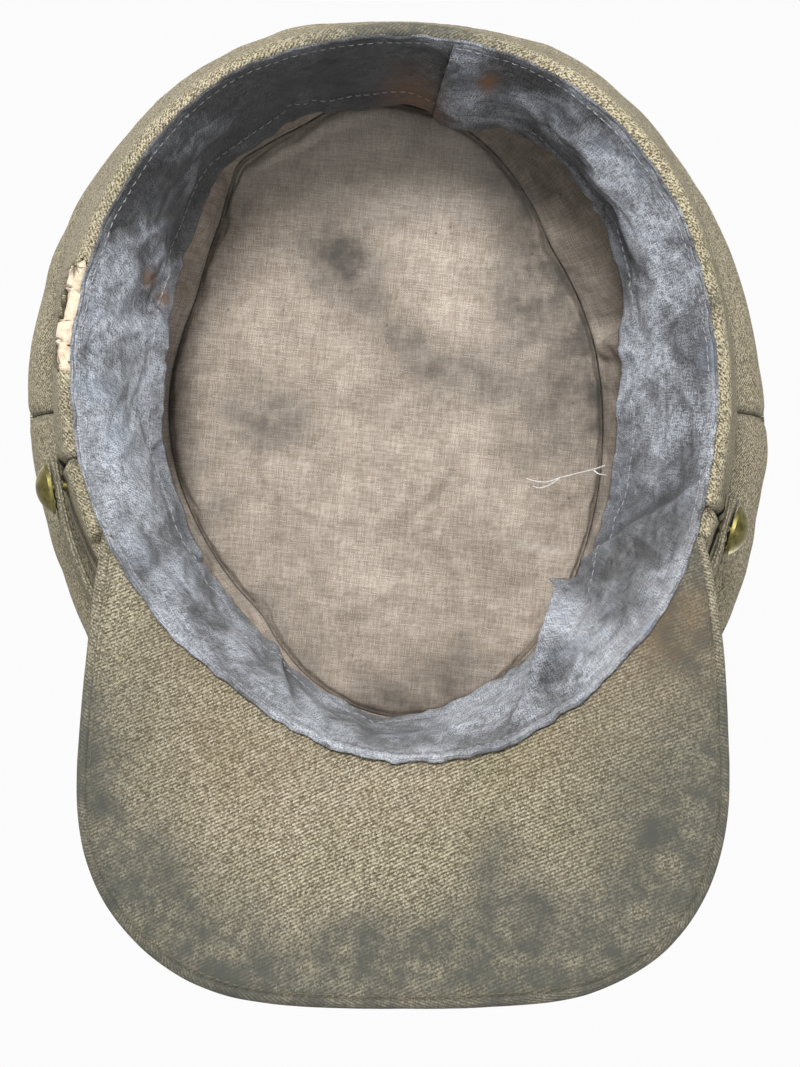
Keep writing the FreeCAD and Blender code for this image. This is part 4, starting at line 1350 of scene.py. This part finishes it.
def smooth_path(points):
    """Points along a smooth curve through a few given points."""
    points = np.asarray(points, float)
    at = np.linspace(0, len(points) - 1, 12 * len(points))
    index = np.clip(at.astype(int), 0, len(points) - 2)
    f = (at - index)[:, None]
    padded = np.concatenate([points[:1], points, points[-1:]])
    p0, p1, p2, p3 = (padded[index + k] for k in range(4))
    return 0.5 * (2 * p1 + (p2 - p0) * f + (2 * p0 - 5 * p1 + 4 * p2 - p3) * f**2
                  + (3 * p1 - p0 - 3 * p2 + p3) * f**3)


def loose_threads():
    """The white thread caught on the lining, forked near its middle."""
    routes = (
        [(-63.0, -15.5, 52.0), (-60.0, -16.5, 56.0), (-55.5, -17.5, 62.0), (-51.0, -18.6, 67.0),
         (-47.0, -19.8, 70.0), (-43.0, -19.2, 72.0), (-41.0, -18.5, 72.6)],
        [(-51.0, -18.6, 67.0), (-48.5, -20.5, 69.0), (-45.5, -21.6, 71.0), (-43.0, -21.0, 72.6)],
        [(-60.0, -16.5, 56.0), (-61.5, -17.8, 55.0), (-63.5, -18.2, 53.0)],
    )
    tubes = [tube(smooth_path(route), 0.24, taper=0.5) for route in routes]
    join_tubes("loose_white_thread", tubes, THREAD_WHITE)


# Cloth simulation


def crumple(pieces, frames=14):
    """Lets cloth find its own creases, and keeps them in its mesh. Each piece comes with the
    weights that hold its points, the share by which it is cut larger than its room, and the
    most that a point may move, in mm."""
    before = {}
    for piece, hold, larger, _ in pieces:
        group = piece.vertex_groups.new(name="hold")
        for i, weight in enumerate(np.asarray(hold, float).reshape(-1)):
            group.add([i], float(weight), "REPLACE")
        cloth = piece.modifiers.new("creases", "CLOTH")
        settings = cloth.settings
        settings.quality = 6
        settings.mass = 0.15
        settings.tension_stiffness = settings.compression_stiffness = 12.0
        settings.shear_stiffness = 6.0
        settings.bending_stiffness = 0.6
        settings.shrink_min = -larger
        settings.vertex_group_mass = "hold"
        settings.pin_stiffness = 1.0
        settings.effector_weights.gravity = 0.0
        cloth.collision_settings.use_collision = False
        cloth.point_cache.frame_start, cloth.point_cache.frame_end = 1, frames
        before[piece.name] = vertices(piece.data)
    scene = bpy.context.scene
    for number in range(1, frames + 1):
        scene.frame_set(number)
    graph = bpy.context.evaluated_depsgraph_get()
    for piece, _, _, most in pieces:
        shaped = piece.evaluated_get(graph)
        mesh = shaped.to_mesh()
        moved = vertices(mesh) - before[piece.name]
        shaped.to_mesh_clear()
        far = np.linalg.norm(moved, axis=1, keepdims=True)
        moved = moved * most * MM * np.tanh(far / (most * MM)) / np.maximum(far, 1e-9)
        settled = (before[piece.name] + moved).astype(np.float32)
        piece.data.vertices.foreach_set("co", settled.reshape(-1))
        piece.modifiers.remove(piece.modifiers["creases"])
        piece.data.update()
    scene.frame_set(1)


# Building

crown_quarters = {
    "cloth_quarter_rear_left": 0.0,
    "cloth_quarter_rear_right": 90.0,
    "cloth_quarter_front_right": 180.0,
    "cloth_quarter_front_left": 270.0,
}

band_card()
band_cloth("cloth_band_rear", BAND_SEAM_DEG["left"] + 0.06, BAND_SEAM_DEG["right"] - 0.06,
           ["band_cloth_rear"])
band_cloth("cloth_band_front", BAND_SEAM_DEG["right"] + 0.06, 360.0 + BAND_SEAM_DEG["left"] - 0.06,
           ["band_cloth_front"])
frayed_edges()
for quarter, first_deg in crown_quarters.items():
    crown_quarter(quarter, first_deg)
crown_top()
peak_card()
peak_under_cloth()
peak_upper_cloth()
peak_stitching()
chin_strap()
band, band_v = sweatband()
top, top_share = lining_top()
left_side, left_share = lining_side("cloth_lining_side_left", -90.0)
right_side, right_share = lining_side("cloth_lining_side_right", 90.0)
loose_threads()

# Each cloth is held firmly where it is sewn and loosely elsewhere.
sweat_hold = np.clip(1.0 - 0.92 * smooth(band_v * 8.0), 0.08, 1.0)
top_hold = np.where(top_share > 0.985, 1.0, 0.1)
left_hold, right_hold = (np.where(np.abs(share - 0.5) > 0.47, 1.0, 0.08)
                         for share in (left_share, right_share))
crumple([(band, sweat_hold, 0.018, 2.5), (top, top_hold, 0.012, 2.0),
         (left_side, left_hold, 0.04, 3.0), (right_side, right_hold, 0.04, 3.0)])

# Painted light and shade from the sweatband's relief: its ridges paler, its creases darker.
paint_shade_by_relief(band, band_v.shape, "pale", 0.16)
rolled_edge(band, band_v.shape)
tubes = []
for row_share in (0.84, 0.1):
    line, inward = row_path(band, band_v.shape, row_share)
    tubes.extend(stitches(line, inward, length=1.6, gap=1.0, radius=0.14, sink=0.05))
join_tubes("sweatband_stitching", tubes, THREAD_GREY)
for piece in (band, top, left_side, right_side):
    subdivide(piece, 1)
    give_thickness(piece, SWEAT_T if piece is band else LINING_T, side=1.0)

finishes = {"button_ring": STEEL, "button_washer": LEATHER, "button_dome": BRASS,
            "button_back": BRASS, "crown_canvas": LINING}
for node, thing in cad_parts.items():
    for start, finish in finishes.items():
        if node.startswith(start):
            thing.data.materials.clear()
            thing.data.materials.append(finish)


# Studio


def area_light(name, place, size, power):
    """A round soft light aimed at the middle of the cap."""
    target = (0.0, -0.02, 0.03)
    data = bpy.data.lights.new(name, "AREA")
    data.shape = "DISK"
    data.size = size
    data.energy = power
    light = new_object(name, data)
    light.location = place
    light.rotation_euler = (Vector(target) - Vector(place)).to_track_quat("-Z", "Y").to_euler()


def studio():
    """White surroundings at and above the floor's level, dimmer below it, and soft lights on
    both sides of the floor."""
    world = bpy.data.worlds.new("pale studio")
    world.use_nodes = True
    nodes, links = world.node_tree.nodes, world.node_tree.links
    direction = nodes.new("ShaderNodeTexCoord").outputs["Generated"]
    split = nodes.new("ShaderNodeSeparateXYZ")
    links.new(direction, split.inputs[0])
    ramp = nodes.new("ShaderNodeValToRGB")
    low, high = ramp.color_ramp.elements
    low.position, low.color = 0.15, (0.45, 0.46, 0.48, 1.0)
    high.position, high.color = 0.4, (1.0, 1.0, 1.0, 1.0)
    shift = nodes.new("ShaderNodeMath")
    shift.operation = "ADD"
    shift.inputs[1].default_value = 0.5
    links.new(split.outputs[2], shift.inputs[0])
    links.new(shift.outputs[0], ramp.inputs[0])
    links.new(ramp.outputs[0], nodes["Background"].inputs["Color"])
    nodes["Background"].inputs["Strength"].default_value = 0.97
    bpy.context.scene.world = world
    area_light("under_key", (0.1, 0.46, -0.9), 0.35, 17.0)
    area_light("under_fill", (-0.35, -0.45, -0.85), 0.8, 2.5)
    area_light("over_key", (-0.6, -0.8, 1.0), 0.7, 7.0)
    area_light("over_fill", (0.8, 0.5, 0.9), 0.9, 3.5)


def floor():
    """Pale floor under the peak's lowest point. It shows from above only, so that the cap can
    also be looked at from underneath."""
    size, low = 20.0, CAD_BOX[0].z - 0.001
    mesh = bpy.data.meshes.new("floor")
    corners = [(-size, -size, low), (size, -size, low), (size, size, low), (-size, size, low)]
    mesh.from_pydata(corners, [], [(0, 1, 2, 3)])
    plane = new_object("floor", mesh)
    material = bpy.data.materials.new("floor paint")
    material.use_nodes = True
    nodes, links = material.node_tree.nodes, material.node_tree.links
    bsdf = nodes["Principled BSDF"]
    bsdf.inputs["Base Color"].default_value = (0.86, 0.86, 0.855, 1.0)
    bsdf.inputs["Roughness"].default_value = 0.9
    side = nodes.new("ShaderNodeNewGeometry")
    clear = nodes.new("ShaderNodeBsdfTransparent")
    pick = nodes.new("ShaderNodeMixShader")
    links.new(side.outputs["Backfacing"], pick.inputs[0])
    links.new(bsdf.outputs[0], pick.inputs[1])
    links.new(clear.outputs[0], pick.inputs[2])
    links.new(pick.outputs[0], nodes["Material Output"].inputs["Surface"])
    plane.data.materials.append(material)
    plane.visible_diffuse = plane.visible_glossy = False
    plane.visible_transmission = plane.visible_shadow = False


def camera():
    """Straight below the opening and looking up into the cap, peak at the bottom of the view."""
    distance, lens = 0.380, 47.95
    data = bpy.data.cameras.new("camera")
    data.lens = lens
    data.sensor_width = 36.0
    data.clip_start = 0.01
    thing = new_object("camera", data)
    thing.location = (-0.0008, -0.0361, -distance)
    thing.rotation_euler = (0.0, math.pi, 0.0)
    bpy.context.scene.camera = thing


studio()
floor()
camera()
bpy.context.scene.view_settings.view_transform = "Standard"
